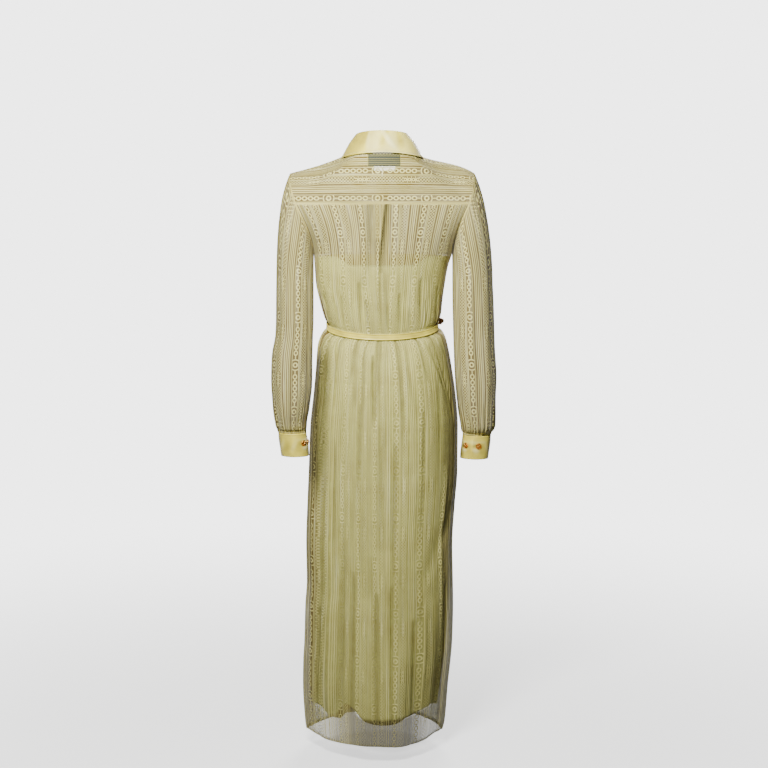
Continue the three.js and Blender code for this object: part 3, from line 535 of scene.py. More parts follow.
def neck_point(beta):
    """The neck seam, by the angle round the neck."""
    s = np.sin(beta)
    ahead = NECK_SIDE_DROP + NECK_FRONT_DROP * (1 - np.sqrt(np.maximum(1 - s * s, 0)))
    drop = np.where(s > 0, NECK_SIDE_DROP * (1 - s), ahead)
    return point(NECK_REACH * np.cos(beta), NECK_MIDDLE + NECK_DEPTH * s, -drop)


def back_seam_point(angle):
    """The yoke's back seam, by the angle round the body."""
    angle = np.asarray(angle, float)
    end = armhole_point(np.full(angle.shape, ARMHOLE_BACK_CORNER), np.where(np.cos(angle) >= 0, 1, -1))
    s = np.sin(angle)
    behind = mix(end[..., 1], 101, s * s)
    return point(np.abs(end[..., 0]) * np.cos(angle), behind, YOKE_Z + 0 * s)


def plain_yoke(u, v):
    """The yoke: u goes round from the left front corner to the right one, v up to the neck."""
    u, v = np.broadcast_arrays(np.asarray(u, float), np.asarray(v, float))
    side = np.where(u <= 0.5, 1, -1)
    w = np.minimum(u, 1 - u)
    near = w < YOKE_CORNER
    t_arm = w / YOKE_CORNER
    t_seam = clamp((w - YOKE_CORNER) / (0.5 - YOKE_CORNER), 0, 1)
    arm = armhole_point(mix(ARMHOLE_FRONT_CORNER, ARMHOLE_BACK_CORNER, clamp(t_arm, 0, 1)), side)
    seam = back_seam_point(np.where(side > 0, 90 * DEG * t_seam, math.pi - 90 * DEG * t_seam))
    outer = np.where(near[..., None], arm, seam)
    beta = np.where(near, mix(NECK_CORNER, NECK_TURN, t_arm), mix(NECK_TURN, math.pi / 2, t_seam))
    p = mix(outer, mirrored(neck_point(beta), side), v[..., None])
    bulge = 4 * v * (1 - v)
    behind = ease(0, 70 * DEG, beta)
    ridge = np.where(side > 0, mix(-1, -3, v), mix(14, -7, v))
    return p + point(0 * v, 11 * bulge * behind, bulge * mix(ridge, 5, behind))


def yoke_point(u, v):
    """The yoke with the folds that run in from its corners eased out."""
    u, v = np.broadcast_arrays(np.asarray(u, float), np.asarray(v, float))
    reach = 0.09 * 4 * v * (1 - v) * np.minimum(1, 8 * np.minimum(u, 1 - u))
    return sum(plain_yoke(u + reach * k / 6, v) * (7 - abs(k)) / 49 for k in range(-6, 7))


def upper_point(angle, v, top):
    """Blends from the body at the armpit's height up to a top edge."""
    bottom = body_point(angle, ARMPIT_Z, fine=False)
    below = body_point(angle, ARMPIT_Z - 10, fine=False)
    lean = (bottom - below) * ((top[..., 2:] - ARMPIT_Z) / 10)
    v = np.asarray(v, float)[..., None]
    return bottom + lean * v + (top - bottom - lean) * v * v


def back_point(angle, v):
    """The back panel above the armpit: v goes up from there to the yoke."""
    angle, v = np.broadcast_arrays(np.asarray(angle, float), np.asarray(v, float))
    side = np.where(np.cos(angle) >= 0, 1, -1)
    edge = np.where(side > 0, 0.0, math.pi)
    miss = armhole_point(v * ARMHOLE_BACK_CORNER, side) - upper_point(edge, v, back_seam_point(edge))
    weight = np.abs(1 - 2 * angle / math.pi) ** 2.2
    return upper_point(angle, v, back_seam_point(angle)) + miss * weight[..., None]


def front_top(u, side):
    """A front panel's top edge: up the neck seam and then out along the yoke."""
    on_neck = mirrored(neck_point(mix(-math.pi / 2, NECK_CORNER, clamp(u / 0.5, 0, 1))), side)
    on_seam = plain_yoke(0 * u + (0 if side > 0 else 1), clamp(1 - (u - 0.5) / 0.5, 0, 1))
    return np.where((u <= 0.5)[..., None], on_neck, on_seam)


def front_upper(u, v, side):
    """A front panel above the armpit: u from the middle to the side, v upward."""
    u, v = np.broadcast_arrays(np.asarray(u, float), np.asarray(v, float))
    angle = -math.pi / 2 + side * (math.pi / 2) * u
    edge = np.full(u.shape, 0.0 if side > 0 else -math.pi)
    top_edge = front_top(np.ones(u.shape), side)
    arm = armhole_point(mix(1, ARMHOLE_FRONT_CORNER, v), np.full(u.shape, side))
    miss = arm - upper_point(edge, v, top_edge)
    return upper_point(angle, v, front_top(u, side)) + miss * (u ** 1.8)[..., None]


def front_point(u, row, side):
    """A front panel by row: 0 to 1 from the hem to the armpit, 1 to 2 from there to the top."""
    angle = 1.5 * math.pi + side * (math.pi / 2) * np.asarray(u, float)
    low = body_point(angle, mix(HEM_Z, ARMPIT_Z, clamp(row, 0, 1)))
    high = front_upper(u, clamp(row - 1, 0, 1), side)
    return np.where((np.asarray(row) <= 1)[..., None], low, high)


# Colours and sizes that the maker of a variant would change.


class DressSettings(bpy.types.PropertyGroup):
    lace_colour: StringProperty(
        name="Lace", description="Colour of the lace yarn, as a hex value", default="E0D684")
    net_colour: StringProperty(
        name="Net", description="Colour of the fine net between the stripes", default="C4C074")
    shade_colour: StringProperty(
        name="Shade", description="Colour of the net where it is seen through", default="695628")
    slip_colour: StringProperty(
        name="Slip", description="Colour of the slip's cloth", default="E2E07C")
    satin_colour: StringProperty(
        name="Satin", description="Colour of the collar, cuffs and belt", default="F0DF58")
    net_cover: FloatProperty(
        name="Net cover", description="How much of the net's area its yarn covers", default=0.42,
        min=0, max=1, subtype="FACTOR")
    grid: FloatProperty(
        name="Grid", description="Size of the cloth's grid", default=0.0042,
        min=0.002, max=0.02, unit="LENGTH")


class StageSettings(bpy.types.PropertyGroup):
    camera_place: FloatVectorProperty(
        name="Camera", description="Where the camera stands", default=(-0.004, 3.7, -0.187),
        size=3, unit="LENGTH")
    camera_tilt: FloatProperty(
        name="Tilt", description="How far the camera looks down", default=5.94 * DEG, subtype="ANGLE")
    lens: FloatProperty(
        name="Lens", description="Focal length of the camera in millimetres", default=71.7)
    backdrop: FloatProperty(
        name="Backdrop", description="Brightness of the backdrop as the camera sees it", default=4.0)
    surround: FloatProperty(
        name="Surround", description="Brightness of the room that lights the dress", default=0.07)
    floor_size: FloatProperty(
        name="Floor", description="Width of the floor", default=40.0, unit="LENGTH")


def linear(code):
    """An sRGB hex colour as the linear RGBA that a shader takes."""
    values = [int(code[i:i + 2], 16) / 255 for i in (0, 2, 4)]
    return tuple(v / 12.92 if v <= 0.04045 else ((v + 0.055) / 1.055) ** 2.4 for v in values) + (1.0,)


def put(tree, kind, *inputs, out=0, **settings):
    """Adds a node, sets its properties, and links or sets its inputs in order, or by name from a
    pair. Returns one of its outputs."""
    node = tree.nodes.new("ShaderNode" + kind)
    for key, value in settings.items():
        setattr(node, key, value)
    for i, value in enumerate(inputs):
        name, value = value if isinstance(value, tuple) and isinstance(value[0], str) else (i, value)
        if isinstance(value, bpy.types.NodeSocket):
            tree.links.new(value, node.inputs[name])
        else:
            node.inputs[name].default_value = value
    return node.outputs[out]


def start_material(name):
    """A new material with its tree and shader, or the one of that name that is there already."""
    found = bpy.data.materials.get(name)
    if found:
        return found, None, None
    made = bpy.data.materials.new(name)
    made.use_nodes = True
    tree = made.node_tree
    return made, tree, tree.nodes["Principled BSDF"]


def finish_material(tree, shader, **inputs):
    """Links or sets the shader's inputs, by name."""
    for name, value in inputs.items():
        socket = shader.inputs[name.replace("_", " ")]
        if isinstance(value, bpy.types.NodeSocket):
            tree.links.new(value, socket)
        else:
            socket.default_value = value


def tinted(tree, tint, source, start, end, amount, code):
    """Lays a colour over a tint: none of it where the source is at start, an amount at end."""
    return put(tree, "MixRGB", put(tree, "MapRange", source, start, end, 0.0, amount), tint, linear(code))


def lace_material():
    """Raschel lace of matt cotton-nylon yarn: thick yarn rings and bars on a fine net, so light
    passes between the yarns and the stripes stand a little proud."""
    settings = bpy.context.scene.dress_settings
    made, tree, shader = start_material("raschel lace")
    if tree is None:
        return made
    uv = put(tree, "UVMap", uv_map="cloth")
    flat = [put(tree, "SeparateXYZ", uv, out=k) for k in (0, 1)]
    across, along = (put(tree, "Math", metres, 1 / MM, operation="MULTIPLY") for metres in flat)

    def line(distance, half, soft=0.7):
        return put(tree, "MapRange", distance, half - soft, half + soft, 1.0, 0.0)

    def bar(value, centre, half, soft=0.7):
        away = put(tree, "Math", value, centre, operation="SUBTRACT")
        return line(put(tree, "Math", away, operation="ABSOLUTE"), half, soft)

    def both(a, b):
        return put(tree, "Math", a, b, operation="MULTIPLY")

    def most(*values):
        total = values[0]
        for value in values[1:]:
            total = put(tree, "Math", total, value, operation="MAXIMUM")
        return total

    def wrap(value, period):
        return put(tree, "Math", value, period, 0.0, operation="WRAP")

    def ring(x, y, radius, half):
        flat = put(tree, "CombineXYZ", x, y)
        length = put(tree, "VectorMath", flat, operation="LENGTH", out=1)
        return bar(length, radius, half, 0.6)

    # One repeat across: a band of rings, a trellis and four thin lines.
    place = wrap(across, REPEAT)
    rings_x = put(tree, "Math", place, RINGS_AT, operation="SUBTRACT")
    trellis_x = put(tree, "Math", place, TRELLIS_AT, operation="SUBTRACT")
    in_rings = bar(place, RINGS_AT, 7.6, 0.4)
    in_trellis = bar(place, TRELLIS_AT, 7.4, 0.4)
    # Five small rings in a row, with a bar between each two, then a large one between two brackets.
    small_y = put(tree, "Math", wrap(along, SMALL_PERIOD), SMALL_PERIOD / 2, operation="SUBTRACT")
    small_flat = put(tree, "Math", small_y, 0.82, operation="MULTIPLY")
    small = most(
        ring(rings_x, small_flat, 4.1, 1.25),
        both(bar(small_y, -SMALL_PERIOD / 2, 2.2), bar(rings_x, 0.0, 1.3)),
        both(bar(small_y, SMALL_PERIOD / 2, 2.2), bar(rings_x, 0.0, 1.3)),
    )
    large_y = put(tree, "Math", wrap(along, LONG_PERIOD), LARGE_AT, operation="SUBTRACT")
    large = most(
        ring(rings_x, large_y, 4.7, 1.6),
        both(ring(rings_x, large_y, 12.6, 1.3), in_rings),
        both(bar(large_y, -18.0, 3.6), bar(rings_x, 0.0, 1.2)),
        both(bar(large_y, 18.0, 3.6), bar(rings_x, 0.0, 1.2)),
    )
    in_large = bar(large_y, 0.0, LONG_PERIOD - LARGE_AT, 0.2)
    rings = both(in_rings, put(tree, "MixRGB", in_large, small, large))
    # The trellis: crossed yarns, with a run of small rings in its middle.
    rising = put(tree, "Math", trellis_x, along, operation="ADD")
    falling = put(tree, "Math", trellis_x, along, operation="SUBTRACT")
    slants = (wrap(rising, TRELLIS_PERIOD), wrap(falling, TRELLIS_PERIOD))
    crossed = most(*(bar(slant, TRELLIS_PERIOD / 2, 0.85) for slant in slants))
    bead_y = put(tree, "Math", wrap(along, BEAD_PERIOD), BEAD_PERIOD / 2, operation="SUBTRACT")
    bead_ends = (bar(bead_y, end * BEAD_PERIOD / 2, 0.8) for end in (1, -1))
    beads = most(ring(trellis_x, bead_y, 3.1, 1.1), *bead_ends)
    in_beads = bar(wrap(along, LONG_PERIOD), LONG_PERIOD / 2, 17.0, 0.2)
    trellis = both(in_trellis, put(tree, "MixRGB", in_beads, crossed, beads))
    # Thin lines; the real ones are a little finer than these.
    lines = both(bar(wrap(place, LINE_PERIOD), LINE_PERIOD / 2, 0.95), bar(place, LINES_AT, 9.2, 0.3))
    edges = most(*(bar(place, edge, 0.8) for edge in (0.9, 17.6, 20.6, 38.2)))
    yarn = most(rings, trellis, lines, edges)
    # The net itself is finer than a pixel, so it is drawn as an even veil that varies a little.
    cloth = put(tree, "CombineXYZ", across, along)
    patches = put(tree, "TexNoise", ("Vector", cloth), ("Scale", 0.05), ("Detail", 3.0))
    net = put(tree, "MapRange", patches, 0.3, 0.7, settings.net_cover - 0.05, settings.net_cover + 0.05)
    cover = put(tree, "Attribute", attribute_name="cover", out=2)
    # Below 0 the net is drawn open, so that the labels show: less net, and thinner yarn.
    net = both(net, put(tree, "MapRange", cover, -1.0, 0.0, 0.2, 1.0))
    full = put(tree, "MapRange", cover, -1.0, 0.0, 0.66, 0.97)
    alpha = most(put(tree, "MapRange", yarn, 0.0, 1.0, net, full), cover)
    # Gathered and pressed, the ground takes fine streaks along its length, drawn coarser here, as bumps with
    # painted shade in their low places and painted highlight on their high ones.
    drawn = put(tree, "CombineXYZ", across, put(tree, "Math", along, 0.025, operation="MULTIPLY"))
    streaks = put(
        tree, "TexNoise", ("Vector", drawn), ("Scale", 0.17), ("Detail", 3.0), ("Roughness", 0.7))
    # Where nothing pale lies behind it, the net is drawn darker than on the slip: painted shade, for the dim
    # inside seen through it and the sides turned from the light.
    sheer = put(tree, "MapRange", cover, 0.5, 0.78, 0.0, 1.0)
    veil = put(tree, "MixRGB", sheer, linear(settings.net_colour), linear(settings.shade_colour))
    # Over the slip the yarn is drawn fainter against the net.
    plain = both(yarn, put(tree, "MapRange", cover, 0.0, 0.8, 0.46, 1.0))
    tint = put(tree, "MixRGB", plain, veil, linear(settings.lace_colour))
    tint = tinted(tree, tint, cover, 0.88, 0.96, 0.8, SEAM_TINT)
    slow = put(tree, "TexNoise", ("Vector", cloth), ("Scale", 0.012), ("Detail", 2.0))
    tint = tinted(tree, tint, slow, 0.35, 0.65, 0.16, SLOW_TINT)
    # Painted shade where the streaks lie low, painted highlight where they stand high.
    tint = tinted(tree, tint, streaks, 0.52, 0.7, 0.55, STREAK_PAINTED_SHADE)
    tint = tinted(tree, tint, streaks, 0.48, 0.3, 0.45, STREAK_PAINTED_HIGHLIGHT)
    # The soft light leaves the folds flat, so painted shade is laid in their hollows and a painted highlight
    # on their ridges; the same tone carries painted shade at the skirt's sides and hem.
    hollow = put(tree, "Attribute", attribute_name="hollow", out=2)
    tint = tinted(tree, tint, hollow, 0.0, 1.0, 0.55, LACE_PAINTED_SHADE)
    # Past 1 the painted shade deepens, mostly on the net between the yarns.
    between = put(tree, "MapRange", yarn, 0.0, 1.0, 1.0, 0.4)
    deep = both(put(tree, "MapRange", hollow, 1.0, 2.0, 0.0, 0.85), between)
    tint = put(tree, "MixRGB", deep, tint, linear(LACE_DEEP_SHADE))
    tint = tinted(tree, tint, hollow, 0.0, -1.0, 0.35, LACE_PAINTED_HIGHLIGHT)
    height = put(tree, "Math", yarn, put(tree, "Math", streaks, -1.6, operation="MULTIPLY"), operation="ADD")
    bump = put(tree, "Bump", ("Height", height), ("Strength", 0.8), ("Distance", 0.0009))
    finish_material(
        tree, shader, Base_Color=tint, Alpha=alpha, Normal=bump, Roughness=0.78, Specular_IOR_Level=0.2)
    return made


def woven_material(name, colour, roughness, sheen, rib, variation):
    """A smooth woven cloth: fine ribs along its length, drawn coarser than the yarn is, and
    slow changes of tone where it has been pressed and handled."""
    made, tree, shader = start_material(name)
    if tree is None:
        return made
    uv = put(tree, "UVMap", uv_map="cloth")
    ribs = put(
        tree, "TexWave", ("Vector", uv), ("Scale", 0.314 / rib), ("Distortion", 0.6), ("Detail", 1.0),
        wave_type="BANDS", bands_direction="Y")
    slow = put(tree, "TexNoise", ("Vector", uv), ("Scale", 22.0), ("Detail", 3.0))
    tint = tinted(tree, linear(colour), slow, 0.35, 0.68, 1.0, variation)
    # A crease takes painted shade in its hollow and a painted highlight along its ridge.
    hollow = put(tree, "Attribute", attribute_name="hollow", out=2)
    tint = tinted(tree, tint, hollow, 0.0, 1.0, 0.7, SATIN_PAINTED_SHADE)
    tint = tinted(tree, tint, hollow, 0.0, -1.0, 0.7, SATIN_PAINTED_HIGHLIGHT)
    height = put(tree, "Math", ribs, put(tree, "Math", slow, 4.0, operation="MULTIPLY"), operation="ADD")
    bump = put(tree, "Bump", ("Height", height), ("Strength", 0.25), ("Distance", 0.0004))
    gloss = put(tree, "MapRange", slow, 0.3, 0.7, roughness - 0.06, roughness + 0.06)
    finish_material(
        tree, shader, Base_Color=tint, Roughness=gloss, Normal=bump,
        Sheen_Weight=sheen, Sheen_Roughness=0.4, Specular_IOR_Level=0.4)
    return made


def satin_material():
    # Duchesse satin of silk or acetate: long floats give a broad soft gleam.
    colour = bpy.context.scene.dress_settings.satin_colour
    return woven_material("duchesse satin", colour, 0.4, 0.25, 0.0016, "BCAC44")


def slip_material():
    # Acetate lining: a flat, even cloth with a faint sheen that the lace lies on.
    colour = bpy.context.scene.dress_settings.slip_colour
    return woven_material("acetate lining", colour, 0.55, 0.1, 0.0025, "C0B65A")


def metal_material(name, colour, dark, roughness):
    """Plated cast metal, rubbed bright on its high places and darker in its hollows."""
    made, tree, shader = start_material(name)
    if tree is None:
        return made
    spot = put(tree, "TexCoord", out=3)
    grain = put(tree, "TexNoise", ("Vector", spot), ("Scale", 420.0), ("Detail", 4.0))
    worn = put(tree, "MapRange", put(tree, "NewGeometry", out=7), 0.46, 0.56, 0.0, 1.0)
    worn = put(tree, "Math", worn, put(tree, "MapRange", grain, 0.3, 0.7, 0.6, 1.0), operation="MULTIPLY")
    tint = put(tree, "MixRGB", worn, linear(dark), linear(colour))
    gloss = put(tree, "MapRange", grain, 0.3, 0.7, roughness - 0.08, roughness + 0.1)
    bump = put(tree, "Bump", ("Height", grain), ("Strength", 0.2), ("Distance", 0.0002))
    finish_material(tree, shader, Base_Color=tint, Metallic=1.0, Roughness=gloss, Normal=bump)
    return made


def label_material(name, colour, stripe):
    """A woven polyester label: close ribs across it, with nothing on it."""
    made, tree, shader = start_material(name)
    if tree is None:
        return made
    uv = put(tree, "UVMap", uv_map="cloth")
    ribs = put(
        tree, "TexWave", ("Vector", uv), ("Scale", 260.0), ("Distortion", 0.3),
        wave_type="BANDS", bands_direction="Y")
    faint = put(tree, "Math", ribs, 0.5, operation="MULTIPLY")
    tint = put(tree, "MixRGB", faint, linear(colour), linear(stripe))
    bump = put(tree, "Bump", ("Height", ribs), ("Strength", 0.3), ("Distance", 0.0002))
    finish_material(tree, shader, Base_Color=tint, Roughness=0.75, Normal=bump)
    return made


def thread_material():
    # Polyester sewing thread: a fine bright line with a slight gloss.
    made, tree, shader = start_material("sewing thread")
    if tree is None:
        return made
    spot = put(tree, "TexCoord", out=3)
    twist = put(tree, "TexNoise", ("Vector", spot), ("Scale", 900.0), ("Detail", 2.0))
    tint = put(tree, "MixRGB", twist, linear("D9CD92"), linear("EDE4B4"))
    finish_material(tree, shader, Base_Color=tint, Roughness=0.5)
    return made


def linked(name, mesh, material):
    """A smooth object of the mesh, in the scene."""
    mesh.polygons.foreach_set("use_smooth", np.ones(len(mesh.polygons), bool))
    mesh.materials.append(material)
    made = bpy.data.objects.new(name, mesh)
    bpy.context.scene.collection.objects.link(made)
    return made


def quads(i, j, after, width):
    """The corners of each cell of a grid, in a list of rows that are width long."""
    return np.stack([j * width + i, j * width + after, (j + 1) * width + after, (j + 1) * width + i], axis=-1)


def cloth(name, points, uv, material, cover=None, closed=False, flip=False, hollow=None):
    """A sheet from a grid of points in millimetres, rows first, with a UV map that holds its flat
    place in metres. A closed sheet joins its last column to its first."""
    rows, columns = points.shape[:2]
    used = points[:, :-1] if closed else points
    width = used.shape[1]
    mesh = bpy.data.meshes.new(name)
    j, i = np.mgrid[0:rows - 1, 0:columns - 1]
    corners = quads(i, j, (i + 1) % width, width)
    spots = quads(i, j, i + 1, columns)
    if flip:
        corners, spots = corners[..., ::-1], spots[..., ::-1]
    mesh.from_pydata((used.reshape(-1, 3) * MM).tolist(), [], corners.reshape(-1, 4).tolist())
    layer = mesh.uv_layers.new(name="cloth")
    flat = uv.reshape(-1, 2)[spots.reshape(-1)] * MM
    layer.data.foreach_set("uv", flat.astype(np.float32).ravel())
    for kind, amount in (("cover", cover), ("hollow", hollow)):
        if amount is not None:
            held = mesh.attributes.new(kind, "FLOAT", "POINT")
            values = (amount[:, :-1] if closed else amount).astype(np.float32).ravel()
            held.data.foreach_set("value", values)
    return linked(name, mesh, material)


def thicken(piece, thickness):
    """Gives a sheet its thickness in millimetres, inside the surface that shows."""
    wall = piece.modifiers.new("thickness", "SOLIDIFY")
    wall.thickness = thickness * MM
    wall.offset = -1.0
    wall.use_rim = True


def stand_for(piece, slot, *nodes):
    """Puts a piece on the root body, in place of the nodes that it shows. Its slot is not used."""
    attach(piece, "root")
    if nodes:
        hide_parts(*nodes)
    return piece


def arc_uv(points, anchor_column, anchor_row):
    """Flat places that follow the cloth's own lengths: across from one column, along from one
    row. An even grid on the cloth stays even."""
    across = run(points, 1)
    along = run(points, 0)
    across = across - across[:, anchor_column:anchor_column + 1]
    along = along - along[anchor_row:anchor_row + 1]
    return np.stack([across, along], axis=-1)


def body_rows(step):
    """Heights from the hem to the armpit, closer together at the belt."""
    low, high = BELT_ZONE
    below = np.linspace(HEM_Z, low, int((low - HEM_Z) / step) + 1)
    belt = np.linspace(low, high, BELT_ROWS)[1:]
    above = np.linspace(high, ARMPIT_Z, int((ARMPIT_Z - high) / step) + 1)[1:]
    return np.concatenate([below, belt, above])


def hollows(points):
    """How deep each point lies in a fold, against the columns near it: 1 in a full hollow, -1 on a
    ridge."""
    out = np.linalg.norm(points[..., :2], axis=-1)
    wide = np.pad(out, ((0, 0), (NEAR_COLUMNS, NEAR_COLUMNS)), mode="edge")
    count = 2 * NEAR_COLUMNS + 1
    mean = sum(wide[:, k:k + out.shape[1]] for k in range(count)) / count
    return clamp((mean - out) / FULL_HOLLOW, -1, 1)


def chest_row(points):
    """The row of a panel at the armpit's height."""
    return points[int(np.argmin(np.abs(points[:, points.shape[1] // 2, 2] - ARMPIT_Z)))]


def lace_uv(points, across):
    """Flat places of a panel, given how far across its cloth each column or point lies. The lace's
    stripes run down the panel, which was cut to one width, so the belt gathers them."""
    along = run(points, 0).mean(axis=1, keepdims=True)
    return np.stack(np.broadcast_arrays(across, along + 0 * points[..., 0]), axis=-1)


def at_seams(cover, value, sides=0, first=0, last=0):
    """Draws the net closer in the outer columns, first rows and last rows, where it is sewn."""
    row, column = np.indices(cover.shape)
    rows, columns = cover.shape
    sewn = (column < sides) | (column >= columns - sides) | (row < first) | (row >= rows - last)
    return np.where(sewn, np.maximum(cover, value), cover)


# Where the ring stripes of the back lie: millimetres to the wearer's right at the chest, and how
# many repeats of the lace from the one at the pleat.
BACK_STRIPES = [
    (-205, -5.2), (-190, -4.4), (-149, -3), (-94, -2), (-43, -1), (-33, -0.78), (-27, -0.5), (-11, 0),
    (2, 0.3), (6, 0.62), (27, 1), (83, 2), (138, 3), (180, 4.2), (203, 5.2),
]
# The pleat: where it fades out, its rise, the depth of the hollow beside it, and its edges' places
# across the back at the yoke and lower down.
PLEAT = {"bottom": -400, "rise": 3.2, "hollow": 2.8, "left": (26, 33), "right": (-5, 9.5)}
PLEAT_LENGTH = 136
# The grids: columns of the back, of a front and of a sleeve's round, and the cloth's length above
# the armpit, which sets the number of rows there.
BACK_COLUMNS = 190
FRONT_COLUMNS = 90
SLEEVE_COLUMNS = 168
BACK_RISE = 124
FRONT_RISE = 150
BELT_ZONE = (-470, -400)
BELT_ROWS = 34
# The folds' painted shade: how many columns on each side a point is set against, and the depth in
# millimetres at which a hollow's painted shade is at its darkest.
NEAR_COLUMNS = 7
FULL_HOLLOW = 1.6
# How far across the lace a front panel starts, and the width of lace that it takes up.
FRONT_START = 32
FRONT_WIDTH = 240
# Where the yoke's net lies open over the label and the tag. Each side of the window is given by
# where it starts and is all open, in the order right, left, bottom and top.
LABEL_WINDOW = ((-43.5, -42), (34.5, 33), (-51, -49.5), (-21, -23))
TAG_WINDOW = ((-32, -30), (21, 19), (-62, -60), (-49, -51))


def pleat_place(x, z):
    """Where a point is across the pleat at the middle of the back: 0 at its left edge, 1 at its
    folded right edge."""
    t = clamp((YOKE_Z - z) / PLEAT_LENGTH, 0, 1)
    left, right = (mix(*PLEAT[edge], t) for edge in ("left", "right"))
    return (left - x) / (left - right), left - right


def back_points(angles, heights, upper_rows):
    """The back panel's grid, from the hem up to the yoke."""
    lower = body_point(angles[None, :], heights[:, None])
    v = np.linspace(0, 1, upper_rows + 1)[1:]
    return np.vstack([lower, back_point(angles[None, :], v[:, None])])


class DRESS_OT_back_panel(bpy.types.Operator):
    """Back panel: one width of lace, pleated in the middle under the yoke"""
    bl_idname = "dress.back_panel"
    bl_label = "Back panel"

    def execute(self, context):
        step = context.scene.dress_settings.grid / MM
        angles = np.linspace(0, math.pi, BACK_COLUMNS + 1)
        points = back_points(angles, body_rows(step), int(BACK_RISE / step))
        x, z = points[..., 0], points[..., 2]
        behind = points[..., 1] > 0
        share, span = pleat_place(x, z)
        fade = 1 - ease(-190, PLEAT["bottom"], z)
        on = ease(0.0, 0.25, share) * (1 - ease(1.0, 1.0 + 3.0 / span, share)) * behind
        # The fold's edge has a narrow hollow beside it.
        beside = bell(share - 1.22, 0.16) * behind
        points[..., 1] += fade * (PLEAT["rise"] * on - PLEAT["hollow"] * beside)
        # The ring stripes lie at these places across the chest, with one on the pleat.
        places, turns = np.array(BACK_STRIPES, float).T
        across = np.interp(-chest_row(points)[:, 0], places, RINGS_AT + REPEAT * turns)[None, :]
        # The gathers take up more of the cloth in some places than in others.
        below = ease(-430, -520, z)
        turn = angles[None, :]
        across = across + below * (9 * np.sin(5 * turn + 0.6) + 6 * np.sin(9 * turn + 2.2))
        above = ease(-300, -400, z) * (1 - below)
        across = across + above * (6 * np.sin(7 * turn + 1.1) + 4 * np.sin(12 * turn))
        uv = lace_uv(points, across)
        seam = 1 - ease(2.0, 4.5, YOKE_Z - z)
        doubled = on * (1 - ease(-215, -285, z))
        hem = 1 - ease(4.0, 6.5, z - (HEM_Z + hem_wave(turn)))
        sheer = lace_cover(turn / DEG, z)
        cover = at_seams(np.maximum.reduce([0.95 * seam, 0.93 * doubled, 0.94 * hem, sheer]), 0.97, sides=3)
        # Painted shade in the folds' hollows and at the skirt's sides, painted highlight on the ridges and
        # low on the wearer's right.
        tone = shaded(hollows(points), side_shade(turn / DEG, z))
        # The pleat's doubled cloth is drawn deeper, with painted highlight on its folded edge and painted
        # shade in the hollow beside it.
        tone = tone + 0.7 * doubled + 1.1 * fade * (bell(share - 1.16, 0.12) - bell(share - 0.93, 0.07))
        # Below the slip the middle of the hem takes painted shade, for the dim inside seen through it.
        tone = tone + 1.9 * below_slip(turn / DEG, z) * ease(112, 60, np.abs(x + 18))
        piece = cloth("lace_back_panel", points, uv, lace_material(), cover, hollow=tone)
        stand_for(piece, "lace", "back_panel")
        return {"FINISHED"}


class DRESS_OT_fronts(bpy.types.Operator):
    """Front panels: two widths of lace that meet under the button band"""
    bl_idname = "dress.fronts"
    bl_label = "Front panels"

    def execute(self, context):
        step = context.scene.dress_settings.grid / MM * 1.25
        low = (body_rows(step) - HEM_Z) / (ARMPIT_Z - HEM_Z)
        upper = 1 + np.linspace(0, 1, int(FRONT_RISE / step) + 1)[1:]
        rows = np.concatenate([low, upper])
        for side, name in ((1, "left_front"), (-1, "right_front")):
            u = np.linspace(0, 1, FRONT_COLUMNS + 1)[::side]
            points = front_point(u[None, :], rows[:, None], side)
            share = run(chest_row(points), 0)
            share = share / share[-1] - (0 if side > 0 else 1)
            uv = lace_uv(points, (FRONT_START + FRONT_WIDTH * share)[None, :])
            degrees, z = (270 + side * 90 * u)[None, :], points[..., 2]
            hem = 1 - ease(7.0, 10.0, z - HEM_Z)
            cover = np.maximum(0.94 * hem, lace_cover(degrees, z))
            cover = at_seams(at_seams(cover, 0.9, sides=2), 0.95, last=2)
            # Painted shade in the folds' hollows and at the skirt's sides, painted highlight on the ridges
            # and low on the wearer's right.
            tone = shaded(hollows(points), side_shade(degrees, z))
            piece = cloth("lace_" + name, points, uv, lace_material(), cover, hollow=tone)
            stand_for(piece, "lace", name)
        return {"FINISHED"}


def window(x, z, right, left, bottom, top):
    """1 inside a window of the cloth and 0 outside it."""
    return ease(*right, x) * ease(*left, x) * ease(*bottom, z) * ease(*top, z)


class DRESS_OT_yoke(bpy.types.Operator):
    """Yoke: lace with its stripes laid across the shoulders"""
    bl_idname = "dress.yoke"
    bl_label = "Yoke"

    def execute(self, context):
        corner = np.linspace(0, YOKE_CORNER, 25)[:-1]
        middle = np.linspace(YOKE_CORNER, 1 - YOKE_CORNER, 141)
        u = np.concatenate([corner, middle, np.linspace(1 - YOKE_CORNER, 1, 25)[1:]])
        v = np.linspace(0, 1, 61)
        points = yoke_point(u[None, :], v[:, None])
        # The stripes lie level across the back and run on over the shoulders.
        x, y, z = np.moveaxis(points, -1, 0)
        level = clamp(z - YOKE_Z, 0, 200) + 0.75 * clamp(60 - y, 0, 200) * ease(-110, -60, z)
        uv = np.stack([23.0 - level, -x - 10.8], axis=-1)
        # The net is drawn close, as nothing pale lies behind it, so it takes the painted shade colour; it is
        # open over the two labels and drawn darker over the dark one.
        over_label, over_tag = (window(x, z, *sides) * (y > 0) for sides in (LABEL_WINDOW, TAG_WINDOW))
        back_edge = ((u > YOKE_CORNER) & (u < 1 - YOKE_CORNER))[None, :]
        rows_up = v[:, None] * 110
        cover = at_seams(np.maximum(0.86, back_edge * (1 - ease(2.6, 4.6, rows_up))), 0.97, sides=2)
        cover = mix(cover, -1.0, np.maximum(over_label, over_tag))
        piece = cloth("lace_yoke", points, uv, lace_material(), cover, hollow=over_label)
        stand_for(piece, "lace", "back_yoke")
        return {"FINISHED"}


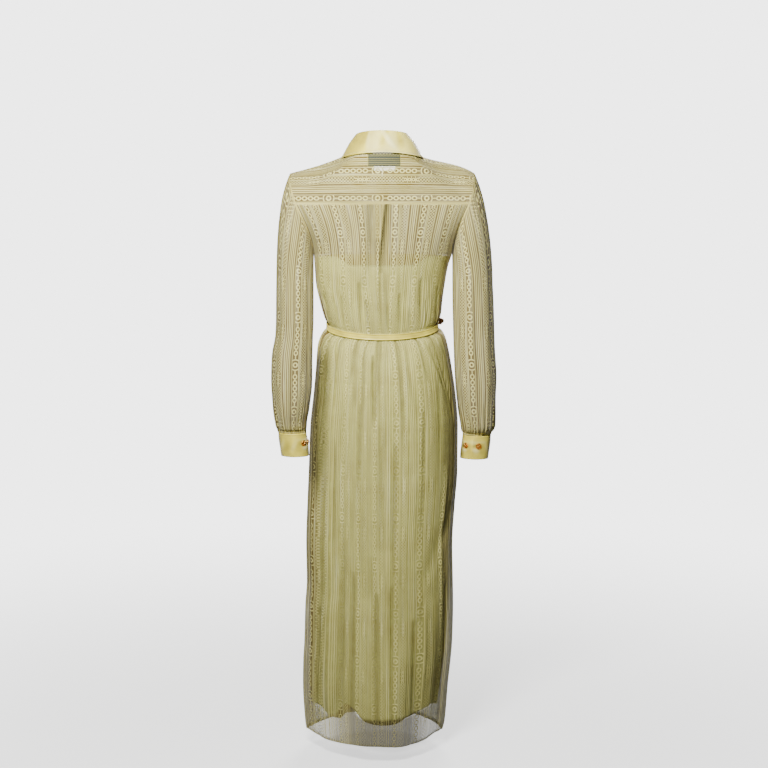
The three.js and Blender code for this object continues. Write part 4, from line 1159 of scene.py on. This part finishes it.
def sleeve_tube(table, side, turn, rows):
    """The sleeve below the cap: level rings down to the cuff, at these angles round them."""
    first, last = table[0][0], table[-1][0]
    near = last + 45
    z = np.concatenate([np.linspace(first, near, rows), np.linspace(near, last, 26)[1:]])[:, None]
    outer, inner, depth, centre = read_table(table, z + 0 * turn[None, :])
    middle, half = (outer + inner) / 2, (outer - inner) / 2
    # It stays full down to the cuff's edge and only then turns in under it.
    hold = CUFF_FULLNESS * ease(last + 4.6, last + 6.4, z) * ease(last + 40, last + 18, z)
    half, depth = np.maximum(half, hold), np.maximum(depth, hold)
    # The fullness gathers into the cuff in small folds of uneven width.
    end = mix(0.45 * ease(last + 3, last + 6, z), 1, ease(last + 6, last + 22, z))
    gather = ease(last + 120, last + 22, z) * end
    uneven = 0.65 + 0.35 * np.sin(5 * turn + 1)
    folds = np.sin(26 * turn + 1.2 * np.sin(3 * turn)) * uneven + 0.35 * np.sin(43 * turn)
    soft = crease_height(SLEEVE_CREASES, turn[None, :] / DEG, z) * ease(last + 4, last + 30, z)
    rise = 2.8 * gather * folds[None, :] + soft
    half, depth = half + rise, depth + rise
    return point(side * (middle + half * np.cos(turn)), centre + depth * np.sin(turn), z)


def sleeve_points(table, side, columns, cap_rows, lower_rows):
    """A sleeve's grid, from the armhole over the cap and down to the cuff, and its angles."""
    start = np.linspace(0, 1, columns + 1)
    spread = np.where(start <= 0.5, start / 0.5, (1 - start) / 0.5)
    turn = (1 - spread) * math.pi * np.where(start <= 0.5, 1, -1)
    lower = sleeve_tube(table, side, turn, lower_rows)
    origin = armhole_point(start, side)[None]
    target = lower[0][None]
    length = np.linalg.norm(target - origin, axis=-1)
    top = ease(0.35, 1, spread)
    sideways = 0.4 * np.sin(turn) * (1 - top) * spread
    outward = unit(point(side * mix(0.04, 0.4, top), sideways, -0.9))[None]
    leave = outward * (length * 0.9)[..., None]
    arrive = np.array([side * 0.02, 0, -1]) * length[..., None]
    v = np.linspace(0, 1, cap_rows + 1)[:-1][:, None]
    cap = hermite(origin, leave, target, arrive, v[..., None])
    # The cap's ease puckers a little below the armhole.
    near = np.sin(math.pi * clamp(v * 2.6, 0, 1)) * 0.9 * ease(0.25, 0.7, spread)[None, :]
    pucker = np.sin(34 * turn + np.sin(4 * turn))[None, :] * near
    away = unit(point(side * np.cos(turn), np.sin(turn), 0 * turn))[None]
    return np.concatenate([cap + away * pucker[..., None], lower]), turn


class DRESS_OT_sleeves(bpy.types.Operator):
    """Sleeves: lace with vertical stripes, gathered into the cuffs"""
    bl_idname = "dress.sleeves"
    bl_label = "Sleeves"

    def execute(self, context):
        for table, side, name in ((LEFT_SLEEVE, 1, "left_sleeve"), (RIGHT_SLEEVE, -1, "right_sleeve")):
            points, turn = sleeve_points(table, side, SLEEVE_COLUMNS, 64, 84)
            across = 14 + 320 * (turn / (2 * math.pi) + 0.5)
            uv = lace_uv(points, across[None, :]) * (1, -1)
            # The net is drawn close and takes the painted shade colour, for the dim inside; its last nine
            # rows are drawn closer and paler where it is sewn into the cuff, partly the seam and partly
            # painted light over the shade under the gathers.
            cover = at_seams(np.full(points.shape[:2], 0.87), 0.97, sides=1, first=3, last=9)
            piece = cloth("lace_" + name, points, uv, lace_material(), cover, closed=True, flip=side > 0)
            stand_for(piece, "lace", name)
        return {"FINISHED"}


def slip_top(degrees):
    """The slip's top edge: lower in the middle of the back."""
    front = np.abs(np.mod(degrees - 270 + 540, 360) - 180)
    side = np.abs(np.mod(degrees, 360) - 90)
    return mix(-258, mix(-283, -262, ease(26, 44, side)), ease(40, 72, front))


def below_slip(degrees, z):
    """1 where the skirt hangs below the slip's hem. It starts a little above the hem, which is seen
    from higher up."""
    hem = read_table(SLIP_HEM, degrees)[0]
    hem = hem - read_table(BODY, hem)[4] * np.sin(degrees * DEG)
    return ease(hem + 27, hem + 15, z)


def lace_cover(degrees, z):
    """How close the net is drawn, and so where it takes painted shade: more where no slip lies behind it and
    at the side seams.
    """
    top = slip_top(degrees)
    side = ease(0.4, 0.75, np.abs(np.cos(degrees * DEG)))
    sheer = np.maximum(0.87 * ease(top - 3, top + 3, z), mix(0.9, 0.66, side) * below_slip(degrees, z))
    turned = np.abs(np.mod(degrees + 90, 180) - 90)
    wide = mix(21, 35, ease(-440, -900, z))
    edge = mix(0.87, 0.77, ease(-1000, -1200, z)) * ease(wide * 1.3, wide * 0.8, turned)
    return np.maximum(sheer, edge * ease(-150, -230, z))


def side_shade(degrees, z):
    """How much painted shade the skirt's side edges take, and the painted light low on the wearer's right."""
    turned = np.abs(np.mod(degrees + 90, 180) - 90)
    shade = 1.1 * ease(mix(17, 26, ease(-500, -900, z)), 5, turned) * ease(-425, -520, z)
    lower = ease(-880, -1120, z)
    left = np.cos(degrees * DEG) > 0
    high = 2.0 * ease(44, 32, turned) + 0.55 * ease(60, 30, turned)
    high = high * ease(-440, -540, z) * ease(-900, -720, z)
    right = 1.45 * ease(66, 22, turned) * ease(-440, -490, z) * mix(0.1, 1, ease(-930, -690, z))
    paler = np.where(left, 0.0, 0.7) * lower * ease(40, 18, turned)
    return np.maximum(shade * (1 - lower), np.where(left, high, right)) - paler


def shaded(folds, side):
    """The painted shade and highlight of the folds and of the skirt's sides together."""
    return np.maximum(folds, np.maximum(side, 0)) + np.minimum(side, 0)


def slip_points(columns, rows):
    """The slip's grid, inside the lace and pressed in by its folds."""
    angle = np.linspace(0, 2 * math.pi, columns + 1)[None, :]
    t = np.linspace(0, 1, rows + 1)[:, None]
    z = mix(read_table(SLIP_HEM, angle / DEG)[0], slip_top(angle / DEG), t)
    base, outward = body_ring(angle, z)
    inset = read_table(SLIP_INSET, z)[0] + 0.3 * clamp(z - ARMPIT_Z, 0, 100)
    low = ease(-1180, -1375, z)
    wave = low * (5 * np.sin(8 * angle + 0.7) + 3 * np.sin(5 * angle))
    # Below the belt it hangs in shallow folds of its own.
    own = 1.3 * np.sin(11 * angle + 0.4 * np.sin(2 * angle)) + 0.9 * np.sin(17 * angle + 2)
    wave = wave + ease(-470, -560, z) * own * (0.4 + 0.6 * low)
    turned = np.mod(angle / DEG, 360) + 0 * z
    pressed = crease_height(FOLDS, turned, z) + narrow_creases(turned, z)
    return base + outward * (wave - inset + 0.8 * np.minimum(pressed, 0))[..., None]


class DRESS_OT_slip(bpy.types.Operator):
    """Slip: the plain opaque cloth under the lace"""
    bl_idname = "dress.slip"
    bl_label = "Slip"

    def execute(self, context):
        points = slip_points(200, 200)
        piece = cloth("slip_cloth", points, arc_uv(points, 0, 0), slip_material(), closed=True)
        thicken(piece, 0.5)
        stand_for(piece, "lining", "slip")
        return {"FINISHED"}


def stand_top(beta):
    """The stand's top edge, where the collar rolls over it."""
    seam = neck_point(beta)
    s = np.sin(beta)
    rise = np.where(s > 0, mix(35.5, 31.3, s), mix(35.5, 29, -s))
    return point(ROLL_REACH * np.cos(beta), ROLL_MIDDLE + ROLL_DEPTH * s, seam[..., 2] + rise)


def collar_edge(beta):
    """The edge of the collar's fall: round behind, and down to the points in front."""
    side = np.where(np.cos(beta) >= 0, 1, -1)
    s = np.sin(beta)
    behind = point(100 * np.cos(beta), -4 + 84 * s, mix(-20.8, -17.5, np.maximum(s, 0)))
    around = np.arcsin(clamp(-s, 0, 1)) / (math.pi / 2)
    ahead = mirrored(spline(COLLAR_FRONT, 0.75 * (1 - around), False), side)
    return np.where((s >= 0)[..., None], behind, ahead)


class DRESS_OT_collar(bpy.types.Operator):
    """Collar: a satin stand and a folded fall with topstitched edges"""
    bl_idname = "dress.collar"
    bl_label = "Collar"

    def execute(self, context):
        beta = np.linspace(-math.pi / 2 + 1.2 * DEG, 1.5 * math.pi - 1.2 * DEG, 181)
        seam = neck_point(beta)
        seam[..., 2] += 0.6
        top = stand_top(beta)
        v = np.linspace(0, 1, 9)[:, None, None]
        stand = seam[None] * (1 - v) + top[None] * v
        piece = cloth("collar_stand_satin", stand, arc_uv(stand, 90, 0), satin_material())
        thicken(piece, 1.6)
        stand_for(piece, "satin", "collar_stand")
        outward = unit(point(np.cos(beta) / ROLL_REACH, np.sin(beta) / ROLL_DEPTH, 0 * beta))
        rows = [top + outward * out + np.array([0, 0, up]) for out, up in COLLAR_ROLL]
        start, end = rows[-1], collar_edge(beta)
        for t in np.linspace(0, 1, 25)[1:]:
            # The fall swells a little, and again where its edge is turned in.
            swell = 0.6 * math.sin(math.pi * t) + 0.5 * math.sin(math.pi * clamp((t - 0.86) / 0.14, 0, 1))
            rows.append(mix(start, end, t) + outward * swell)
        fall = np.array(rows)
        # Pressed creases that fan down from the roll at the middle of the back.
        down = np.linspace(0, 1, len(fall))[:, None]
        centre = beta / DEG - 90
        creases = (rise * bell(centre - at - lean * down, width) for rise, at, lean, width in COLLAR_CREASES)
        fan = sum(creases) * np.sin(math.pi * down) - 1.1 * bell(centre - 12, 4) * bell(down - 0.22, 0.1)
        fall = fall + outward[None] * (1.3 * fan)[..., None]
        # Its edge droops onto the shoulders.
        fall[..., 2] -= COLLAR_DROOP * ease(0.45, 1.0, down) * np.cos(beta) ** 2 * (np.sin(beta) > -0.5)
        # Painted light and shade: darker on the wearer's left and paler across the middle, with painted shade
        # in the creases' hollows and painted highlight on their ridges and along the edge.
        tone = ease(-14, -40, centre) + 0.25 * ease(30, 60, centre) - 0.45 - 0.55 * fan
        tone = tone - 0.5 * ease(0.955, 0.985, down)
        piece = cloth("collar_satin", fall, arc_uv(fall, 90, 0), satin_material(), flip=True, hollow=tone)
        thicken(piece, 1.5)
        stand_for(piece, "satin", "collar")
        # A row of stitches a little inside the fall's edge.
        stitches("collar_topstitching", fall[-3] + outward * 0.35, 3.2, 1.0)
        return {"FINISHED"}


def stitches(name, path, length, gap, radius=0.35):
    """A row of thread stitches along a line of points in millimetres."""
    along = run(path, 0)
    work = bmesh.new()
    place = 0.5
    while place + length < along[-1]:
        ends = (place, place + length)
        a, b = (np.array([np.interp(s, along, path[:, k]) for k in range(3)]) for s in ends)
        axis = Vector(b - a).normalized()
        turn = axis.to_track_quat("Z", "Y").to_matrix().to_4x4()
        made = bmesh.ops.create_cone(
            work, cap_ends=True, segments=5, radius1=radius, radius2=radius, depth=length)
        middle = Matrix.Translation(Vector((a + b) / 2))
        bmesh.ops.transform(work, matrix=middle @ turn, verts=made["verts"])
        place += length + gap
    bmesh.ops.scale(work, vec=(MM, MM, MM), verts=work.verts)
    return finished(name, work, thread_material(), "satin")


def finished(name, work, material, slot, *nodes):
    """Turns a bmesh into an object on the root body."""
    bmesh.ops.recalc_face_normals(work, faces=work.faces)
    mesh = bpy.data.meshes.new(name)
    work.to_mesh(mesh)
    work.free()
    return stand_for(linked(name, mesh, material), slot, *nodes)


def hoop(work, path, radius, segments):
    """Sweeps a round section along a closed line of points, in the units of the bmesh."""
    path = [Vector(p) for p in path]
    rings = []
    for k, p in enumerate(path):
        axis = (path[(k + 1) % len(path)] - path[k - 1]).normalized()
        turn = axis.to_track_quat("Z", "Y").to_matrix().to_4x4()
        made = bmesh.ops.create_circle(work, cap_ends=False, segments=segments, radius=radius)
        bmesh.ops.transform(work, matrix=Matrix.Translation(p) @ turn, verts=made["verts"])
        rings.append(made["verts"])
    for pair in zip(rings, rings[1:] + rings[:1]):
        edges = {e for ring in pair for v in ring for e in v.link_edges if e.other_vert(v) in ring}
        bmesh.ops.bridge_loops(work, edges=list(edges))


def beads(work, places, radius):
    """Adds a small round bead at each place, in the units of the bmesh."""
    for place in places:
        made = bmesh.ops.create_icosphere(work, subdivisions=1, radius=radius)
        bmesh.ops.translate(work, vec=place, verts=made["verts"])


def cuff_point(cuff, angle, t, radius):
    """A point of a cuff: its ring angle in degrees, and how far down it lies."""
    a = np.asarray(angle, float) * DEG
    top, bottom = np.array(cuff["top"], float), np.array(cuff["bottom"], float)
    middle = mix(top, bottom, np.asarray(t, float)[..., None])
    return middle + point(radius * np.cos(a), radius * np.sin(a), 0 * a)


def button_dimples(cuff, under, travelled, t):
    """How the lap's cloth pulls into folds above, below and beside the buttons."""
    total = 0 * travelled + 0 * t
    for at in cuff["buttons"]:
        # How far round and up each point lies from the button, in millimetres.
        away = np.mod(cuff["side"] * (at - under) - travelled + 180, 360) - 180
        away = away * DEG * CUFF_RADIUS
        rise = (BUTTON_SHARE - t) * DIMPLE_SPAN
        total = total + 0.8 * bell(rise - 8, 3.5) * bell(away, 13)
        total = total + 0.7 * bell(rise + 10, 4) * bell(away, 12)
        total = total - 1.1 * bell(rise + 2, 3.5) * bell(away + 7, 9)
    return total


class DRESS_OT_cuffs(bpy.types.Operator):
    """Cuffs: satin bands with a piped top edge, lapped and buttoned"""
    bl_idname = "dress.cuffs"
    bl_label = "Cuffs"

    def execute(self, context):
        for name, cuff in (("left", LEFT_CUFF), ("right", RIGHT_CUFF)):
            turn = cuff["side"]
            under = cuff["lap"] - turn * LAP_ANGLE
            travelled = np.linspace(0, 360 + LAP_ANGLE, 150)[None, :]
            lift = CUFF_LAP * ease(300, 355, travelled)
            t = np.linspace(0, 1, 31)[:, None]
            # The faces swell a little between the edges, as an interlined band does.
            arch = np.sin(math.pi * t)
            swell = 0.7 * arch ** 0.6 - 0.5 * bell(t - 0.09, 0.025) - 0.4 * bell(t - 0.93, 0.02)
            buckle = 0.45 * np.sin(travelled * DEG * 7 + 5 * t) * arch
            dimples = button_dimples(cuff, under, travelled, t)
            radius = CUFF_RADIUS + lift + swell + buckle - 0.3 + dimples * arch
            band = cuff_point(cuff, under + turn * travelled + 0 * t, t + 0 * travelled, radius)
            # Painted highlight on the raised parts of the dimples and buckles, painted shade in their
            # hollows.
            tone = 0.1 - 0.7 * dimples - 0.9 * buckle * arch
            uv = arc_uv(band, 0, 0)
            piece = cloth(f"satin_{name}_cuff", band, uv, satin_material(), flip=turn < 0, hollow=tone)
            thicken(piece, 1.8)
            stand_for(piece, "satin", f"{name}_cuff")
            piping = bmesh.new()
            edge = cuff_point(cuff, np.arange(0, 360, 5.0), np.full(72, 0.012), CUFF_RADIUS + 0.3)
            hoop(piping, edge * MM, 1.15 * MM, 8)
            finished(f"piping_{name}_cuff", piping, satin_material(), "satin")
        return {"FINISHED"}


def belt_point(angle, rise, out=0.0):
    """A point of the belt's face, which stands off the dress and a little more over the band."""
    front = ease(0.55, 0.9, -np.sin(angle)) * 1.6
    return body_point(angle, BELT_Z + rise, 2.8 + out + front, fine=False)


class DRESS_OT_belt(bpy.types.Operator):
    """Belt: a narrow satin strip with rolled edges"""
    bl_idname = "dress.belt"
    bl_label = "Belt"

    def execute(self, context):
        angle = np.linspace(0, 2 * math.pi, 241)
        band = np.array([belt_point(angle, rise, out) for rise, out in BELT_PROFILE])
        piece = cloth("belt_satin", band, arc_uv(band, 0, 0), satin_material(), closed=True)
        thicken(piece, 1.4)
        stand_for(piece, "satin", "belt")
        return {"FINISHED"}


def facing(place, normal):
    """A matrix that turns +Z to the normal and moves to the place, in metres."""
    z = Vector(normal).normalized()
    x = Vector((0, 0, 1)).cross(z).normalized()
    y = z.cross(x)
    turn = Matrix((x, y, z)).transposed().to_4x4()
    return Matrix.Translation(Vector(place)) @ turn


def button_mesh(radius, height):
    """A domed openwork button: a rim, eight open petals and a bead, over a dished back."""
    work = bmesh.new()
    verts = [work.verts.new((r * radius, 0, h * height)) for r, h in BUTTON_PROFILE]
    edges = [work.edges.new(pair) for pair in zip(verts, verts[1:])]
    bmesh.ops.spin(
        work, geom=verts + edges, axis=(0, 0, 1), cent=(0, 0, 0), steps=28, angle=2 * math.pi,
        use_merge=True)
    bmesh.ops.remove_doubles(work, verts=work.verts, dist=radius * 0.004)
    for k in range(8):
        turn = Matrix.Rotation(k * math.pi / 4, 4, "Z")
        path = []
        for a in np.linspace(0, 2 * math.pi, 13)[:-1]:
            out = radius * (0.53 + 0.25 * math.cos(a))
            side = radius * 0.165 * math.sin(a) * (0.7 + 0.45 * math.cos(a))
            rise = height * (0.94 - 0.5 * (out / radius) ** 2.2)
            path.append(turn @ Vector((out, side, rise)))
        hoop(work, path, radius * 0.052, 5)
    bead = bmesh.ops.create_uvsphere(work, u_segments=12, v_segments=8, radius=radius * 0.2)
    bmesh.ops.translate(work, vec=(0, 0, height * 0.82), verts=bead["verts"])
    rim = [(k * math.pi / 8, 0.9 * radius) for k in range(16)]
    beads(work, [(out * math.cos(a), out * math.sin(a), 0.5 * height) for a, out in rim], radius * 0.07)
    return work


class DRESS_OT_buttons(bpy.types.Operator):
    """Buttons: domed openwork ones in gold plate, on the band and the cuffs"""
    bl_idname = "dress.buttons"
    bl_label = "Buttons"

    def execute(self, context):
        gold = metal_material("gold plate", "F2B45A", "A86426", 0.28)
        spots = []
        for k in range(1, FRONT_BUTTONS + 1):
            lo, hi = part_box(f"front_button_{k}")
            place = ((lo[0] + hi[0]) / 2, hi[1], (lo[2] + hi[2]) / 2)
            spots.append((f"front_button_{k}", place, (0, -1, 0), 5.5, 3.0))
        for name, cuff in (("left", LEFT_CUFF), ("right", RIGHT_CUFF)):
            for k, angle in enumerate(cuff["buttons"]):
                out = CUFF_RADIUS + (CUFF_LAP if k == 0 else 0) + 0.7
                place = cuff_point(cuff, angle, BUTTON_SHARE, out) * MM
                normal = (math.cos(angle * DEG), math.sin(angle * DEG), 0)
                spots.append((f"{name}_cuff_button_{k + 1}", place, normal, 7.5, 5.0))
        for node, place, normal, radius, height in spots:
            work = button_mesh(radius * MM, height * MM)
            bmesh.ops.transform(work, matrix=facing(place, normal), verts=work.verts)
            finished("gold_" + node, work, gold, "gold", node)
        return {"FINISHED"}


def oval(a, width, depth, lift, z):
    """A point of the clasp's squarish oval at an angle."""
    c, s = (math.copysign(abs(part) ** 0.7, part) for part in (math.cos(a), math.sin(a)))
    return Vector((width / 2 * c, lift + depth / 2 * s, z))


class DRESS_OT_clasp(bpy.types.Operator):
    """Clasp: an oval cast dome with a beaded rim, in dark bronze"""
    bl_idname = "dress.clasp"
    bl_label = "Clasp"

    def execute(self, context):
        ring = next(row for row in BODY if row[0] == BELT_RING_Z)
        normal = unit(np.array([math.cos(CLASP_ANGLE) / ring[2], math.sin(CLASP_ANGLE) / ring[4], 0.0]))
        place = belt_point(np.array(CLASP_ANGLE), 2.0) + normal * 0.4
        work = bmesh.new()
        previous = None
        for width, depth, z, lift in CLASP_RINGS:
            made = bmesh.ops.create_circle(work, cap_ends=False, segments=40, radius=1)["verts"]
            for v in made:
                v.co = oval(math.atan2(v.co.y, v.co.x), width, depth, lift, z)
            edges = list({e for v in made for e in v.link_edges})
            if previous:
                bmesh.ops.bridge_loops(work, edges=edges + previous)
            previous = edges
        open_edges = [e for e in work.edges if len(e.link_faces) == 1]
        bmesh.ops.holes_fill(work, edges=open_edges, sides=0)
        beads(work, [oval(2 * math.pi * k / 30, 25.6, 15, 3.3, 7.2) for k in range(30)], 0.8)
        bmesh.ops.scale(work, vec=(MM, MM, MM), verts=work.verts)
        bmesh.ops.transform(work, matrix=facing(place * MM, normal), verts=work.verts)
        bronze = metal_material("antique bronze", "8A5A34", "2A1A10", 0.36)
        finished("bronze_clasp", work, bronze, "bronze", "belt_clasp")
        return {"FINISHED"}


class DRESS_OT_band(bpy.types.Operator):
    """Button band: a doubled strip of lace down the middle of the front"""
    bl_idname = "dress.band"
    bl_label = "Button band"

    def execute(self, context):
        low = (body_rows(6.0) - HEM_Z) / (ARMPIT_Z - HEM_Z)
        rows = np.concatenate([low, 1 + np.linspace(0, 1 - 0.14 / 8, 26)[1:]])
        offsets = np.linspace(-15, 15, 9)
        grid = []
        u = np.linspace(0, 0.4, 60)
        for row in rows:
            line = []
            for side, places in ((-1, offsets[offsets < -0.01]), (1, offsets[offsets > -0.01])):
                track = front_point(u, np.full(u.shape, row), side)
                for x in places:
                    y, z = (np.interp(abs(x), np.abs(track[:, 0]), track[:, k]) for k in (1, 2))
                    line.append((x, y, z))
            grid.append(line)
        grid = np.array(grid)
        grid[..., 1] -= 1.7
        uv = arc_uv(grid, 4, 0)
        uv[..., 0] += RINGS_AT
        # The band's net is drawn close, so it takes the painted shade colour too.
        cover = at_seams(np.full(grid.shape[:2], 0.78), 0.98, sides=1)
        piece = cloth("lace_band", grid, uv, lace_material(), cover)
        thicken(piece, 1.0)
        stand_for(piece, "lace", "front_band")
        return {"FINISHED"}


def inside_yoke(x, z, depth):
    """Points inside the back of the yoke at a height and a distance from the middle."""
    surface = yoke_point(np.linspace(0.3, 0.7, 161)[None, :], np.linspace(0, 1, 121)[:, None]).reshape(-1, 3)
    result = []
    for place in zip(x.ravel(), z.ravel()):
        nearest = np.argmin(((surface[:, [0, 2]] - place) ** 2).sum(axis=1))
        result.append((place[0], surface[nearest, 1] - depth, place[1]))
    return np.array(result).reshape(*x.shape, 3)


class DRESS_OT_labels(bpy.types.Operator):
    """Labels: a dark woven one and a white tape, both left bare, inside the back neck"""
    bl_idname = "dress.labels"
    bl_label = "Labels"

    def execute(self, context):
        dark = label_material("woven label", "1E2A28", "34403C")
        white = label_material("cotton tape", "ECE7D8", "DAD3C0")
        for node, name, material, slot, left, right, top, bottom in (
            ("neck_label", "woven_neck_label", dark, "dark_weave", 33, -42, -20, -50),
            ("size_tag", "tape_size_tag", white, "white_tape", 20, -31, -50.6, -61),
        ):
            x, z = np.meshgrid(np.linspace(left, right, 25), np.linspace(bottom, top, 13))
            points = inside_yoke(x, z, 2.2)
            smooth = points.copy()
            smooth[:, 1:-1, 1] = (points[:, :-2, 1] + 2 * points[:, 1:-1, 1] + points[:, 2:, 1]) / 4
            piece = cloth(name, smooth, arc_uv(smooth, 0, 0), material)
            thicken(piece, 0.6)
            stand_for(piece, slot, node)
        return {"FINISHED"}


class DRESS_OT_stage(bpy.types.Operator):
    """Stage: a pale floor, soft studio lights and the camera"""
    bl_idname = "dress.stage"
    bl_label = "Stage"

    def execute(self, context):
        settings = context.scene.stage_settings
        work = bmesh.new()
        half = settings.floor_size / 2
        bmesh.ops.create_grid(work, x_segments=8, y_segments=8, size=half)
        bmesh.ops.translate(work, vec=(0, 0, FLOOR_Z), verts=work.verts)
        mesh = bpy.data.meshes.new("floor")
        work.to_mesh(mesh)
        work.free()
        # Matt seamless paper, which runs out of the light into the pale backdrop.
        paper, tree, shader = start_material("matt paper")
        spot = put(tree, "TexCoord", out=3)
        fibre = put(tree, "TexNoise", ("Vector", spot), ("Scale", 3.0))
        tint = put(tree, "MixRGB", fibre, linear("F4F4F2"), linear("FAFAF8"))
        finish_material(tree, shader, Base_Color=tint, Roughness=0.9)
        flat = put(tree, "VectorMath", spot, (1.0, 1.0, 0.0), operation="MULTIPLY")
        away = put(tree, "VectorMath", flat, operation="LENGTH", out=1)
        far = put(tree, "MapRange", away, 0.2, 3.0, 0.3, 1.0, interpolation_type="SMOOTHSTEP")
        far = put(tree, "Math", far, put(tree, "LightPath"), operation="MULTIPLY")
        glow = put(tree, "Emission", (1.0, 1.0, 1.0, 1.0), settings.backdrop)
        blend = put(tree, "MixShader", far, shader.outputs[0], glow)
        tree.links.new(blend, tree.nodes["Material Output"].inputs["Surface"])
        mesh.materials.append(paper)
        floor = bpy.data.objects.new("floor", mesh)
        context.scene.collection.objects.link(floor)
        floor.visible_diffuse = False
        world = bpy.data.worlds.new("studio")
        context.scene.world = world
        world.use_nodes = True
        tree = world.node_tree
        sky = tree.nodes["Background"]
        ray = put(tree, "LightPath", out=0)
        strength = put(tree, "MapRange", ray, 0.0, 1.0, settings.surround, settings.backdrop)
        sky.inputs["Color"].default_value = (1, 1, 1, 1)
        tree.links.new(strength, sky.inputs["Strength"])
        for name, place, target, size, power in LIGHTS:
            light = bpy.data.lights.new(name, "AREA")
            light.size = size
            light.energy = power
            lamp = bpy.data.objects.new(name, light)
            lamp.visible_camera = False
            aim = Vector(target) - Vector(place)
            turn = aim.to_track_quat("-Z", "Y").to_matrix().to_4x4()
            lamp.matrix_world = Matrix.Translation(Vector(place)) @ turn
            context.scene.collection.objects.link(lamp)
        camera = bpy.data.cameras.new("camera")
        camera.lens = settings.lens
        camera.sensor_width = 36
        eye = bpy.data.objects.new("camera", camera)
        eye.location = settings.camera_place
        eye.rotation_euler = (math.pi / 2 - settings.camera_tilt, 0, math.pi)
        context.scene.collection.objects.link(eye)
        context.scene.camera = eye
        return {"FINISHED"}


class DRESS_PT_pieces(bpy.types.Panel):
    bl_idname = "DRESS_PT_pieces"
    bl_label = "Shirt dress"
    bl_space_type = "VIEW_3D"
    bl_region_type = "UI"
    bl_category = "Shirt dress"

    def draw(self, context):
        for name in DressSettings.__annotations__:
            self.layout.prop(context.scene.dress_settings, name)
        for name in StageSettings.__annotations__:
            self.layout.prop(context.scene.stage_settings, name)
        for maker in OPERATORS:
            self.layout.operator(maker.bl_idname)


OPERATORS = [
    DRESS_OT_stage,
    DRESS_OT_slip,
    DRESS_OT_back_panel,
    DRESS_OT_fronts,
    DRESS_OT_yoke,
    DRESS_OT_sleeves,
    DRESS_OT_collar,
    DRESS_OT_cuffs,
    DRESS_OT_belt,
    DRESS_OT_band,
    DRESS_OT_buttons,
    DRESS_OT_clasp,
    DRESS_OT_labels,
]
CLASSES = [DressSettings, StageSettings, *OPERATORS, DRESS_PT_pieces]


def register():
    for made in CLASSES:
        bpy.utils.register_class(made)
    bpy.types.Scene.dress_settings = PointerProperty(type=DressSettings)
    bpy.types.Scene.stage_settings = PointerProperty(type=StageSettings)


def unregister():
    del bpy.types.Scene.stage_settings
    del bpy.types.Scene.dress_settings
    for made in reversed(CLASSES):
        bpy.utils.unregister_class(made)


def main():
    register()
    for maker in OPERATORS:
        group, name = maker.bl_idname.split(".")
        getattr(getattr(bpy.ops, group), name)()


if __name__ == "__main__":
    main()
